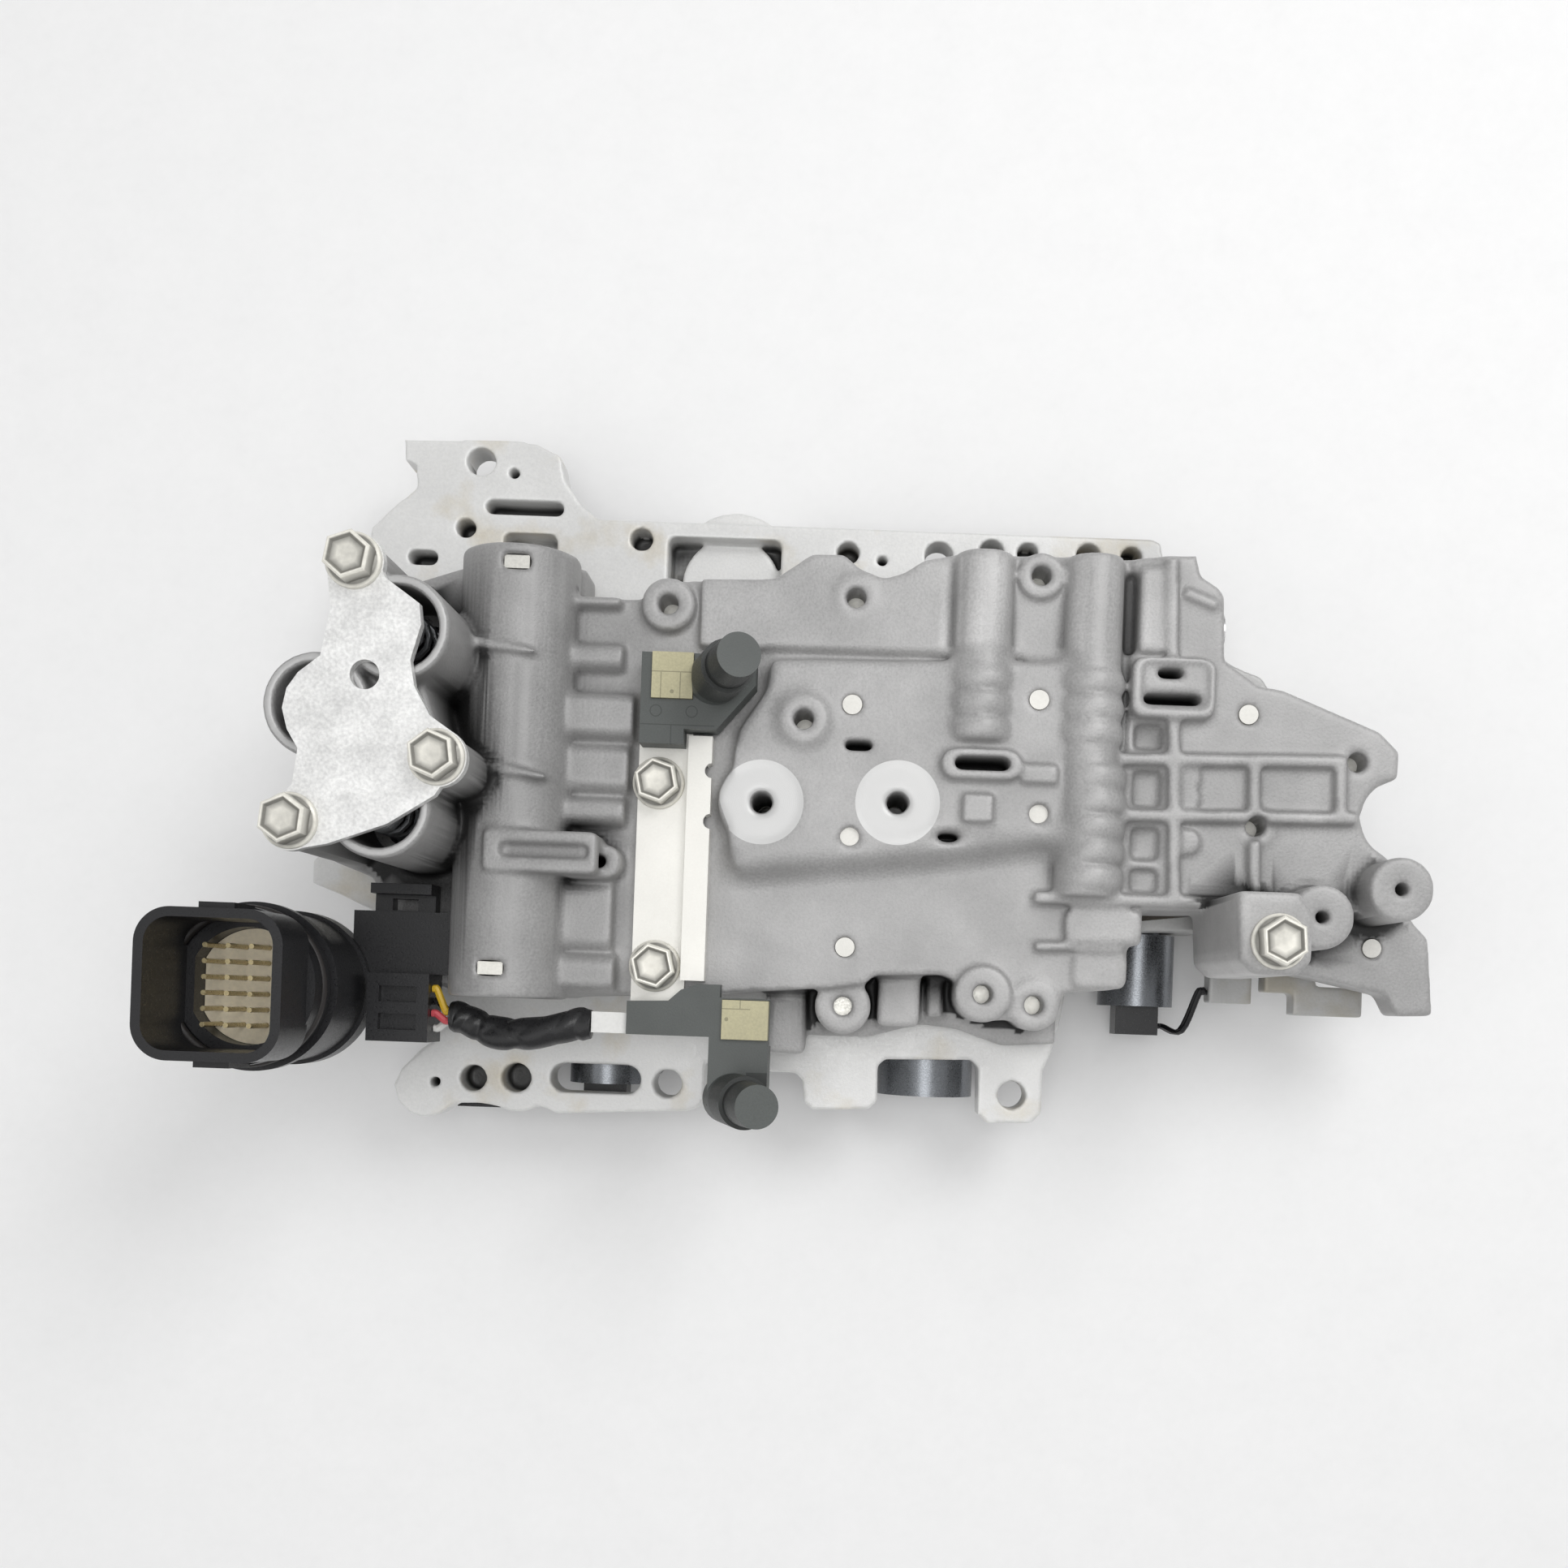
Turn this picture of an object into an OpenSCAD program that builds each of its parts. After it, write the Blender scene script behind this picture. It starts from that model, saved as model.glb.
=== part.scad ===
// Valve body of an automatic gearbox: two castings with a separator plate between them, spool valves,
// spring accumulators, shift solenoids, two speed sensors and the case connector.
// Millimetres. +Z points away from the table, +X runs along the body, z = 0 is the face it lies on.

/* [Casting stack] */
// Height of the lower casting
lower_h = 33; // [30:0.5:38]
// Thickness of the lower casting's flange
flange_t = 11; // [8:0.5:11]
// Thickness of one gasket
gasket_t = 0.5; // [0.3:0.1:1]
// Thickness of the separator plate
plate_t = 1.2; // [0.8:0.1:2]
// Height of the upper casting's floor above its joint face
floor_h = 23; // [21:0.5:26]
// Height of the raised pad above the floor
pad_rise = 6; // [4:0.5:8]
// Height of the right-hand rib field above the joint face
rib_h = 24.5; // [22:0.5:27]
// Height of the ribs above that field
rib_rise = 3; // [2:0.5:4]
// Depth of the small pockets beside the ridge
pocket_depth = 2.5; // [1:0.5:4]

/* [Regulator tube] */
// Outer diameter of the tube
tube_d = 29.5; // [27:0.5:32]
// Bore of the tube
tube_bore = 18; // [15:0.5:19]
// Length of the tube
tube_len = 112; // [108:0.5:114]
// Length of each tube plug
tube_plug_len = 12; // [9:0.5:14]
// Length of the regulator spool
tube_spool_len = 50; // [42:0.5:54]
// Stroke of the regulator spool
tube_stroke = 7; // [4:0.5:8]

/* [Ridge valves] */
// Bore of the two ridge valves
ridge_bore = 9.4; // [8:0.1:10]
// Wall around a ridge bore
ridge_wall = 2.8; // [2.4:0.1:3.2]
// Length of a ridge spool
ridge_spool_len = 26; // [20:0.5:26]
// Stroke of a ridge spool
ridge_stroke = 4; // [2:0.5:4]
// Diameter of the manual valve
manual_d = 12; // [10:0.5:13]

/* [Accumulators] */
// Outer diameter of an accumulator barrel
acc_od = 24.6; // [24:0.1:25]
// Bore of an accumulator
acc_id = 19.4; // [18:0.1:19.8]
// Height of the barrels above the joint face
acc_h = 60; // [54:0.5:64]
// Length of an accumulator piston
piston_len = 15; // [12:0.5:18]
// Thickness of the cover
cover_t = 2.6; // [1.6:0.1:3.2]

/* [Fasteners] */
// Thread diameter of the flange bolts
bolt_d = 5; // [4.6:0.1:5.4]
// Width of the hexagon across its flats
hex_af = 10; // [9:0.1:10]
// Diameter of the bolt flange
bolt_flange_d = 13; // [12:0.1:14]
// Height of the bolt head with its flange
head_h = 6.4; // [5:0.1:7]
// Diameter of the case bolt holes
case_hole_d = 7.5; // [6.5:0.1:8]
// Diameter of the dowel pins
dowel_d = 4.9; // [4:0.1:5.2]

/* [Sensors] */
// Thickness of the bracket sheet
sheet_t = 2.2; // [1.6:0.1:2.6]
// Diameter of a sensor barrel
barrel_d = 13; // [11:0.1:13.4]
// Length of a sensor barrel
barrel_len = 33.5; // [28:0.5:36]
// Lean of the sensor barrels in degrees
barrel_lean = 16; // [12:1:20]
// Height of a sensor housing
housing_h = 7.4; // [6:0.1:9]

/* [Solenoids] */
// Diameter of the large solenoid
can_big_d = 26.6; // [24:0.1:27]
// Diameter of a small solenoid
can_d = 21; // [18:0.1:21]
// Length of a solenoid body
can_len = 20; // [18:0.5:22]
// Diameter of a solenoid nose
nose_d = 12.6; // [10:0.1:13]

/* [Connector] */
// Width of the mouth
mouth_w = 33; // [31:0.5:35]
// Depth of the pocket
mouth_depth = 32; // [28:0.5:34]
// Wall of the mouth
mouth_wall = 2.2; // [1.8:0.1:2.6]
// Height of the mouth's rim above the table
mouth_z = 111; // [106:0.5:113]
// Diameter of the round shell
shell_d = 37; // [36:0.5:38]
// Diameter of a contact pin
pin_d = 1.2; // [0.8:0.1:1.6]

/* [Harness] */
// Diameter of the sleeve
sleeve_d = 7.2; // [6:0.1:7.8]
// Diameter of a wire
wire_d = 1.9; // [1.2:0.1:2]

/* [Hidden] */
$fn = 48;
seat = 0.02;
run_fit = 0.04;
gap = 0.3;
e = 0.01;
z_gasket = lower_h + seat;
z_plate = z_gasket + gasket_t + seat;
z_gasket2 = z_plate + plate_t + seat;
z_joint = z_gasket2 + gasket_t + seat;
z_floor = z_joint + floor_h;
z_pad = z_floor + pad_rise;
z_rib = z_joint + rib_h;
rib_w = 2.9;
z_slab = z_joint + 14;
z_foot = z_joint + 12;
z_flange = lower_h - flange_t;
// Tube axis and its two ends
tube_x = -82;
tube_z = z_joint + 22;
tube_y0 = -59;
tube_y1 = tube_y0 + tube_len;
tube_r = tube_d / 2;
// Ridge axes, and the length of their bores
ridge_x = [35.2, 63];
ridge_z = z_joint + 25;
ridge_y0 = [12, -26];
ridge_spool = [ridge_spool_len, ridge_spool_len + 34];
ridge_plug_len = 7;
ring_pitch = 6.3;
ring_rise = 1.1;
ridge_y1 = 57;
ridge_r = ridge_bore / 2 + ridge_wall;
// Accumulators: centre of each barrel, and of each cover bolt
acc = [[-102.4, 25.6], [-120.4, 7.1], [-105.3, -15.7]];
cover_bolt = [[-111.6, 39.5], [-91.1, -4.6], [-124.1, -20.3]];
acc_top = z_joint + acc_h;
acc_floor = z_joint + 16;
z_cover = acc_top + seat;
piston_z = acc_floor + gap;
// Tapped holes of the upper casting: x, y, boss radius, boss top above the floor
tapped = [
    [-44.2, 41.7, 6.8, 3.5],
    [3.1, 45.1, 5.5, 3.2],
    [49.4, 51.9, 5.8, 5],
    [-8.9, 13.2, 6, 8],
    [3.4, -58, 7.2, -2],
    [38.7, -53.7, 7.2, 2.5],
    [51.9, -56, 6.6, 1],
    [106.1, -8.8, 5.2, 2],
    [131.5, 8.5, 5.6, 1.6]
];
strip_bolt = [[-45, -3.5], [-44.3, -49.6]];
arm_bolt = [103.2, -39.5];
// Tall bosses of the foot: x, y, depth of the tapped hole
tall_boss = [[139.5, -24.4, 17], [120.2, -31.9, 14]];
tall_top = z_joint + 37;
tall_r = 8;
tall_hole_r = 1.7;
z_arm = z_joint + acc_h;
// Dowel pins: x, y, top above the floor
dowel = [
    [3.1, 17.5, 6],
    [49.8, 20.4, 6],
    [103.4, 19.5, 1.5],
    [3.4, -43, 0],
    [140.9, -37.9, -11],
    [3.6, -15.5, 4.5],
    [50.8, -8, 4.5]
];
disc = [[-18.8, -7.7], [15.3, -6.6]];
disc_r = 10.6;
// Case bolt holes in the lower flange
case_hole = [[-99.6, 85.5], [24.8, 64.6], [-43.2, -80.6], [49.8, -80.4]];
small_hole = [
    [-90.6, 82.7, 1.4],
    [-103.1, 67.4, 2.6],
    [-55.6, 66.1, 3],
    [0.3, 64.4, 3],
    [9.6, 62.6, 1.4],
    [39, 66.2, 3.3],
    [48.8, 66.2, 2.8],
    [65.2, 66, 3.3],
    [76.8, 66, 2.8],
    [-106, -82.4, 1.4],
    [-95.7, -81, 3.5],
    [-84.1, -80.5, 3.9]
];
// Solenoids: x, diameter
core_y0 = -62;
sol = [[27, can_big_d], [-62.7, can_d], [-98, can_d]];
side_sol = [86, -35];
nose_len = 24;
lug_x = 103;
manual_y = 50.6;
manual_z = 14;
manual_x1 = 96;
manual_x0 = 58;
manual_out = 10;
// Bracket and sensors
z_strip = z_floor + seat;
z_sensor = z_strip + sheet_t + seat;
term = [[-46.8, 16.5], [-26.6, -67.4]];
term_size = [10.4, 10];
// Connector
conn = [-136.4, -58.4];
z_mouth0 = mouth_z - 16;
z_insert = mouth_z - mouth_depth;
insert_t = 3;
z_shell = 52;
shell_r = shell_d / 2;
ring_z = z_mouth0 - 7.4;
ring_w = 2.4;
plug = [-116.3, -71, z_slab + seat];
plug_size = [15.5, 17.2, 12.6];
// Sleeve of the sensor leads, from the plug to the clip
sleeve_x0 = -96;
sleeve_y0 = -64.2;
sleeve_z = z_slab + 8;
sleeve_path = [
    [sleeve_x0 + 1.5, sleeve_y0, sleeve_z], [-92, -64.8, sleeve_z], [-85, -68.2, sleeve_z + 1],
    [-76, -68, z_strip + 1.6], [-67, -66.2, z_strip + 3], [-63, -64.9, z_strip + 3.6],
    [-61, -64.9, z_strip + 3.6]
];
// Regulator train: spool against the upper plug, spring on the lower one
spool_y1 = tube_y1 - tube_plug_len - gap;
spool_y0 = spool_y1 - tube_spool_len;
spring_y0 = tube_y0 + tube_plug_len;

// Part to draw

// A cylinder along +Y from p
module cyl_y(p, r, l) {
    translate(p) rotate([-90, 0, 0]) cylinder(r = r, h = l);
}

// A cylinder along +X from p
module cyl_x(p, r, l) {
    translate(p) rotate([0, 90, 0]) cylinder(r = r, h = l);
}

// An upright cylinder between two heights
module post(p, r, z0, z1) {
    translate([p[0], p[1], z0]) cylinder(r = r, h = z1 - z0);
}

// A box given by its two corners
module block(a, b) {
    translate(a) cube(b - a);
}

// An upright plate with the given outline between two heights
module slab(outline, z0, z1) {
    translate([0, 0, z0]) linear_extrude(z1 - z0) polygon(outline);
}

// A slot with round ends along X
module slot(p, l, w, z0, z1) {
    block([p[0] - (l - w) / 2, p[1] - w / 2, z0], [p[0] + (l - w) / 2, p[1] + w / 2, z1]);
    for (s = [-1, 1]) post([p[0] + s * (l - w) / 2, p[1]], w / 2, z0, z1);
}

// A straight rib of width w between two plan points
module bar(a, b, w, z0, z1) {
    d = b - a;
    translate([a[0], a[1], z0]) rotate(atan2(d[1], d[0])) translate([0, -w / 2, 0])
    cube([norm(d), w, z1 - z0]);
}

// A plate with rounded corners between two plan corners
module rounded(a, b, r, z0, z1) {
    translate([0, 0, z0]) linear_extrude(z1 - z0) {
        translate([a[0] + r, a[1]]) square([b[0] - a[0] - 2 * r, b[1] - a[1]]);
        translate([a[0], a[1] + r]) square([b[0] - a[0], b[1] - a[1] - 2 * r]);
        for (x = [a[0] + r, b[0] - r], y = [a[1] + r, b[1] - r]) translate([x, y]) circle(r = r);
    }
}

// A domed passage along X on height z
module hump(a, b, z, h) {
    w = (b[1] - a[1]) / 2;
    c = min(2.4, w * 0.6);
    translate([a[0], a[1] + w, z]) rotate([90, 0, 90]) linear_extrude(b[0] - a[0]) polygon([
        [-w, -1], [-w, h * 0.3], [c * 0.4 - w, h * 0.75], [c - w, h],
        [w - c, h], [w - c * 0.4, h * 0.75], [w, h * 0.3], [w, -1]
    ]);
}

// Bulged rings of a ridge, n of them from y towards -Y
module rings(x, y, n, r) {
    translate([x, y - n * ring_pitch, ridge_z]) rotate([-90, 0, 0])
    rotate_extrude() polygon(concat(
        [[0, 0]],
        [for (i = [0:n - 1], k = [[0.02, 0], [0.12, 0.7], [0.3, 1], [0.7, 1], [0.88, 0.7], [0.98, 0]])
            [r - 0.4 + (ring_rise + 0.4) * k[1], (i + k[0]) * ring_pitch]],
        [[0, n * ring_pitch]]));
}

// A hexagon flange bolt, seated at z = 0 with its shank down
module flange_bolt(len) {
    translate([0, 0, -len]) cylinder(d = bolt_d, h = len + e);
    cylinder(d = bolt_flange_d, h = 1.2);
    translate([0, 0, 1.2 - e]) cylinder(d1 = bolt_flange_d - 0.6, d2 = hex_af * 1.12, h = 0.8);
    difference() {
        translate([0, 0, 1]) cylinder(d = hex_af / cos(30), h = head_h - 1, $fn = 6);
        translate([0, 0, head_h - 0.9]) cylinder(d1 = hex_af * 0.5, d2 = hex_af * 0.84, h = 1);
    }
}

function unit(v) = v / norm(v);

// One point of a smooth curve through the points p
function curve_at(p, i, t) =
    let (a = p[max(i - 1, 0)], b = p[i], c = p[i + 1], d = p[min(i + 2, len(p) - 1)])
    0.5 * (2 * b + (c - a) * t + (2 * a - 5 * b + 4 * c - d) * t * t + (3 * b - a - 3 * c + d) * t * t * t);

function curve(p, n) =
    concat([for (i = [0:len(p) - 2], k = [0:n - 1]) curve_at(p, i, k / n)], [p[len(p) - 1]]);

// A smooth curve whose two ends run straight along X for the length l
function led(p, n, l) =
    let (c = curve(p, n))
    concat([c[0] - [l, 0, 0]], c, [c[len(c) - 1] + [l, 0, 0]]);

// One ring of n points around point i of a curve
function ring(c, i, r, n, up) =
    let (t = unit(c[min(i + 1, len(c) - 1)] - c[max(i - 1, 0)]), u = unit(cross(t, up)), v = cross(u, t))
    [for (k = [0:n - 1]) c[i] + r * (cos(360 * k / n) * u + sin(360 * k / n) * v)];

// A round strand along the points c
module strand(c, r, n, up) {
    m = len(c) - 1;
    polyhedron(
        points = [for (i = [0:m]) each ring(c, i, r, n, up)],
        faces = concat(
            [[for (k = [n - 1:-1:0]) k]],
            [for (i = [0:m - 1], k = [0:n - 1])
                each let (a = i * n + k, b = i * n + (k + 1) % n) [[a, b, b + n], [a, b + n, a + n]]],
            [[for (k = [0:n - 1]) m * n + k]]));
}

// Height of a coil spring's wire after t turns: closed end turns, open ones between
function coil_z(t, turns, h, w) =
    let (p = 1.1 * w, mid = (h - w - 2 * p) / (turns - 2))
    w / 2 + (t < 1 ? p * t : t > turns - 1 ? h - w - p * (turns - t) : p + mid * (t - 1));

// A coil spring on z = 0 with mean diameter d, wire w and height h
module coil(d, w, h, turns) {
    strand([for (i = [0:turns * 12])
        [d / 2 * cos(30 * i), d / 2 * sin(30 * i), coil_z(i / 12, turns, h, w)]], w / 2, 6, [0, 0, 1]);
}

// The lower casting's whole plan
module lower_plan() {
    polygon([
        [-120.6, 90.6], [-91.5, 91.7], [-84.9, 90.8], [-78.3, 87.8], [-76.9, 81.3], [-72.5, 75],
        [-67.8, 71.3], [82.1, 71.3], [84.8, 70.1], [86, 62], [98, 50], [99, 40], [113, 35], [124, 20.4],
        [136, 14.9], [139.8, 10.6], [139.8, 3.4], [131, -6], [128, -20], [120, -32], [104, -34],
        [66, -35.5], [62, -56], [60.4, -68], [58.2, -73], [58.1, -85], [55.4, -87.8], [43.4, -88.3],
        [40.8, -85.8], [40.5, -73.2], [38.6, -71.3], [15.2, -72], [13.4, -73.8], [13.6, -83.2],
        [11.4, -85.6], [-4, -86.3], [-6.4, -84], [-6.8, -78.4], [-8.8, -76.5], [-20, -76.4], [-27, -75],
        [-33.2, -74.3], [-33.5, -84.9], [-34.8, -86.9], [-37.6, -87.9], [-73, -89.8], [-75.9, -88.4],
        [-78.4, -88], [-80.3, -89.2], [-82.9, -89.7], [-86.2, -89.4], [-89.1, -88.4], [-94, -87.7],
        [-100.1, -88], [-102, -89.1], [-104.8, -91.2], [-109.2, -92.2], [-112.5, -91], [-115.9, -88.1],
        [-117.2, -83.3], [-115.3, -79.3], [-110.5, -73.9], [-106.5, -71], [-112, -60],
        [-118, -40], [-133, -33],
        [-141, -30], [-141, -24], [-132, -12], [-136, 8], [-130, 40], [-128.9, 66.2], [-123.6, 71.9],
        [-116.9, 77.6], [-117.1, 84.2], [-120.4, 85.1]
    ]);
}

// The deep part of the lower casting, which reaches the table
module core_plan() {
    polygon([
        [-108, 60], [-50, 60], [80, 60], [manual_x1, 56], [manual_x1, 44], [112, 34], [124, 20],
        [136, 14.6], [139.6, 10.5], [139.6, 3.5], [130, -6], [118, -28], [102, -34], [66, -35],
        [62, core_y0], [-108, core_y0], [-122, -30], [-122, 30]
    ]);
}

// Outline shared by the gaskets and the separator plate
module joint_plan() {
    difference() {
        polygon([
            [-66, 43], [-51, 43.5], [-39, 48], [-17.6, 49], [-8.6, 55.2], [0, 55.4], [10, 50], [20, 55],
            [72, 57], [88, 58], [96, 49], [97, 33], [112, 25], [136, 15.6], [140, 10], [140, 4], [131, -6],
            [126, -22], [108, -29], [76, -33], [74, -46], [58, -53], [55, -60], [46, -60], [28, -56],
            [20, -51], [8, -62], [-1, -62], [-6, -53], [-66, -57], [-95, -57], [-100, -34], [-120, -27],
            [-129, -18], [-122, -8], [-131, 4], [-128, 17], [-114, 30], [-117, 40], [-111, 46],
            [-96, 51], [-68, 51]
        ]);
        for (p = tapped) translate([p[0], p[1]]) circle(d = bolt_d + 1);
        for (p = dowel) translate([p[0], p[1]]) circle(d = dowel_d + 0.6);
        for (p = disc) translate(p) circle(r = 2.6);
        for (a = acc) translate(a) circle(r = 3);
        for (x = [-60:24:60]) translate([x, 30]) circle(r = 2);
        for (x = [-50:22:62]) translate([x, -34]) circle(r = 1.6);
    }
}

// Raised masses of the upper casting
module upper_masses() {
    // Floor under the middle of the casting
    slab([
        [-67, 43], [-51, 43.5], [-47, 48], [-39, 48.6], [-17.6, 49.3], [-8.6, 55.8], [-0.4, 56.1],
        [4, 52.5], [10.1, 50.4], [15, 52], [20.1, 55.5], [27.9, 57], [74, 58.2], [75.2, -46.5],
        [72, -51.4], [59.3, -52.6], [57.5, -60.2], [52.7, -62.5], [46, -60], [36.5, -60.5],
        [31.8, -50.3], [28.4, -49], [11.3, -49.8], [8.9, -52], [0.9, -53.4], [-21, -55.2], [-27.3, -56], [-67, -58]
    ], z_joint, z_floor);
    // Lower step along the front edge with its two blocks
    slab([
        [-17, -52], [-17, -64], [-4, -66], [10, -66], [24, -62], [34, -63], [46, -67], [60, -66], [60, -50]
    ], z_joint, z_joint + 5);
    rounded([-16.4, -71], [-6.2, -52], 1.4, z_joint, z_joint + 11);
    rounded([12.4, -62.8], [23.4, -48], 1.4, z_joint, z_joint + 13);
    bar([27.4, -48], [27.8, -60], 4.4, z_joint, z_joint + 8);
    // Slab under the tube, the barrels and the connector's bracket
    slab([
        [-67, 53], [-97, 53], [-113, 47.5], [-119, 40], [-116, 30], [-131, 18], [-133.5, 6], [-130, -4],
        [-124, -9], [-131, -18], [-131, -25], [-120, -29], [-118, -33], [-118, -51], [-97, -58.5],
        [-67, -58.5]
    ], z_joint, z_slab);
    // Flat along the top edge
    slab([
        [-36, 31.4], [60, 31.4], [60, 57.6], [27.9, 57], [20.1, 55.5], [15, 52], [10.1, 50.4], [4, 52.5],
        [-0.4, 56.1], [-8.6, 55.8], [-17.6, 49.3], [-36, 48.6]
    ], z_floor - 1, z_floor + 2.6);
    // Raised pad with the two machined discs
    slab([
        [-17.8, 28.6], [56, 30.3], [56, -14], [33, -17.2], [-26, -24.8], [-27.6, -10.2], [-25.3, 10.3],
        [-18.5, 20.8]
    ], z_floor - 1, z_pad);
    for (k = [1, 2]) slab([
        [-25.6, -23.4 + 0.2 * k], [33, -16 + 0.2 * k], [55.8 - 0.2 * k, -13.4 + 0.2 * k],
        [55.8 - 0.2 * k, -14 - k], [34, -18 - k], [-25 + 0.2 * k, -25 - k]
    ], z_floor - 1, z_pad - pad_rise * k / 3);
    // Rib field at the right
    slab([
        [73, 58], [81.6, 59.1], [88.8, 59.4], [90.2, 54.1], [94.6, 51.5], [96.4, 49.3], [96.9, 33],
        [106, 26.8], [111.7, 26.2], [136.8, 16.4], [142.1, 11.4], [141.8, 4], [132.4, -5.1], [134.7, -11],
        [139.8, -15.5], [141, -22], [128, -33], [109, -30.4], [78.4, -31], [78.4, -40], [73, -40]
    ], z_joint, z_rib);
    for (q = [
        [46, 6.2, 127.8, 8.1, 0], [67, -7.4, 131.2, -6.2, 0], [50.5, -28.8, 108.6, -28.4, 0],
        [126.6, 8.6, 127, -6.8, 0.15], [84.1, 18.3, 85.8, -28.5, 0.15], [82.3, 58, 83.3, 30, 0.15],
        [104.8, 7, 105.2, -5.6, 0.15], [105.4, -12.6, 106.2, -28.4, 0.15]
    ]) bar([q[0], q[1]], [q[2], q[3]], rib_w, z_floor - 1, z_rib + rib_rise - q[4]);
    bar([51.3, -41], [73.6, -40.4], 2.2, z_floor - 1, z_floor + 2.4);
    bar([86, 49.6], [94, 46.6], 2.2, z_rib - 1, z_rib + 1.6);
    for (p = [[88.4, 2.8], [88.4, -2.4], [88.8, -13.4]]) post(p, 3.2, z_rib - 1, z_rib + 1.5);
    rounded([58.8, -39.6], [78, -31.3], 2, z_floor - 1, z_floor + 3.2);
    rounded([61.4, -51.2], [75, -42], 2, z_floor - 1, z_floor + 1.4);
    // Foot at the right with its two tall bosses
    slab([
        [109, -30], [126, -20], [146, -20], [151.6, -30.9], [155.7, -35], [157.5, -55], [148, -55.4],
        [145, -50], [128.6, -46.7], [112, -44]
    ], z_joint, z_foot);
    for (p = tall_boss) post(p, tall_r, z_joint, tall_top);
    // Column that carries the side bolt
    slab([
        [93.6, -28], [108, -28], [111.2, -33], [111.2, -44], [108, -47.2], [98, -47.2], [94.6, -44]
    ], z_joint + 10, z_arm);
    // Regulator tube on its web
    cyl_y([tube_x, tube_y0, tube_z], tube_r, tube_len);
    block([tube_x - tube_r + 1.5, tube_y0 + 0.6, z_slab - 1], [tube_x + tube_r - 1, tube_y1 - 0.6, tube_z]);
    rounded([-86, -28], [-58, -17.6], 1.4, tube_z, tube_z + tube_r + 1.2);
    for (p = [[-97, 28.8, -75, 26], [-91, -1.6, -71, -4.6]])
        slab([[p[0], p[1] + 1.7], [p[0], p[1] - 1.7], [p[2], p[3] - 0.6], [p[2], p[3] + 0.6]],
            tube_z, tube_z + tube_r + 1.3);
    // Passage humps beside the tube
    for (h = [
        [40.2, -56, 43.2, 4], [24.3, -55, 31.3, 4.4], [6.6, -51.6, 18.8, 5.6], [-6.6, -52.6, 6, 4.2],
        [-14.8, -53.2, -7.6, 5], [-46.4, -55.5, -28.6, 3.6], [-57, -54.3, -47, 4.8]
    ]) hump([-71, h[0]], [h[1], h[2]], z_floor, h[3]);
    slot([-61.2, -24.2], 16.6, 8.6, z_floor - 1, z_floor + 8.4);
    // Ridges over the two upper spool bores
    for (i = [0, 1]) {
        cyl_y([ridge_x[i], ridge_y0[i] - 2.4, ridge_z], ridge_r, ridge_y1 - ridge_y0[i] + 2.4);
        block([ridge_x[i] - ridge_r, ridge_y0[i] - 2, z_floor - 1],
            [ridge_x[i] + ridge_r, ridge_y1 - 0.4, ridge_z]);
        rings(ridge_x[i], 28.4, 3, ridge_r);
    }
    rings(ridge_x[1] + 1.2, 4.8, 5, ridge_r);
    // Rimmed slot, slot frame and small bumps
    slot([35.8, 3.4], 20.2, 7.6, z_floor - 1, z_pad + 3);
    rounded([73, 17.2], [94, 32.4], 3, z_rib - 1, z_rib + 4.4);
    rounded([74.6, 34], [81, 55.6], 1, z_rib - 1, z_rib + 2);
    block([46, -0.6, z_pad - 1], [55, 4, z_pad + 2]);
    block([31.5, -11, z_pad - 1], [39, -4, z_pad + 2.4]);
    // Accumulator barrels with their bolt posts and webs
    for (a = acc) post(a, acc_od / 2, z_joint, acc_top);
    for (b = cover_bolt) post(b, 6.2, z_joint, acc_top);
    slab([
        [-111.6, 43], [-102, 25], [-91, -4.6], [-105, -15], [-126, -22], [-124, -14], [-118, 7]
    ], z_joint, acc_top - 8);
    // Bosses of the tapped holes
    for (p = tapped) post(p, p[2], z_joint, z_floor + p[3]);
    post([-8.9, 13.2], 7.6, z_pad - 1, z_pad + 0.8);
    // Lugs for the dowels that stand outside the floor
    post([103.4, 19.5], 4.8, z_joint, z_floor + 1.4);
}

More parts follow.
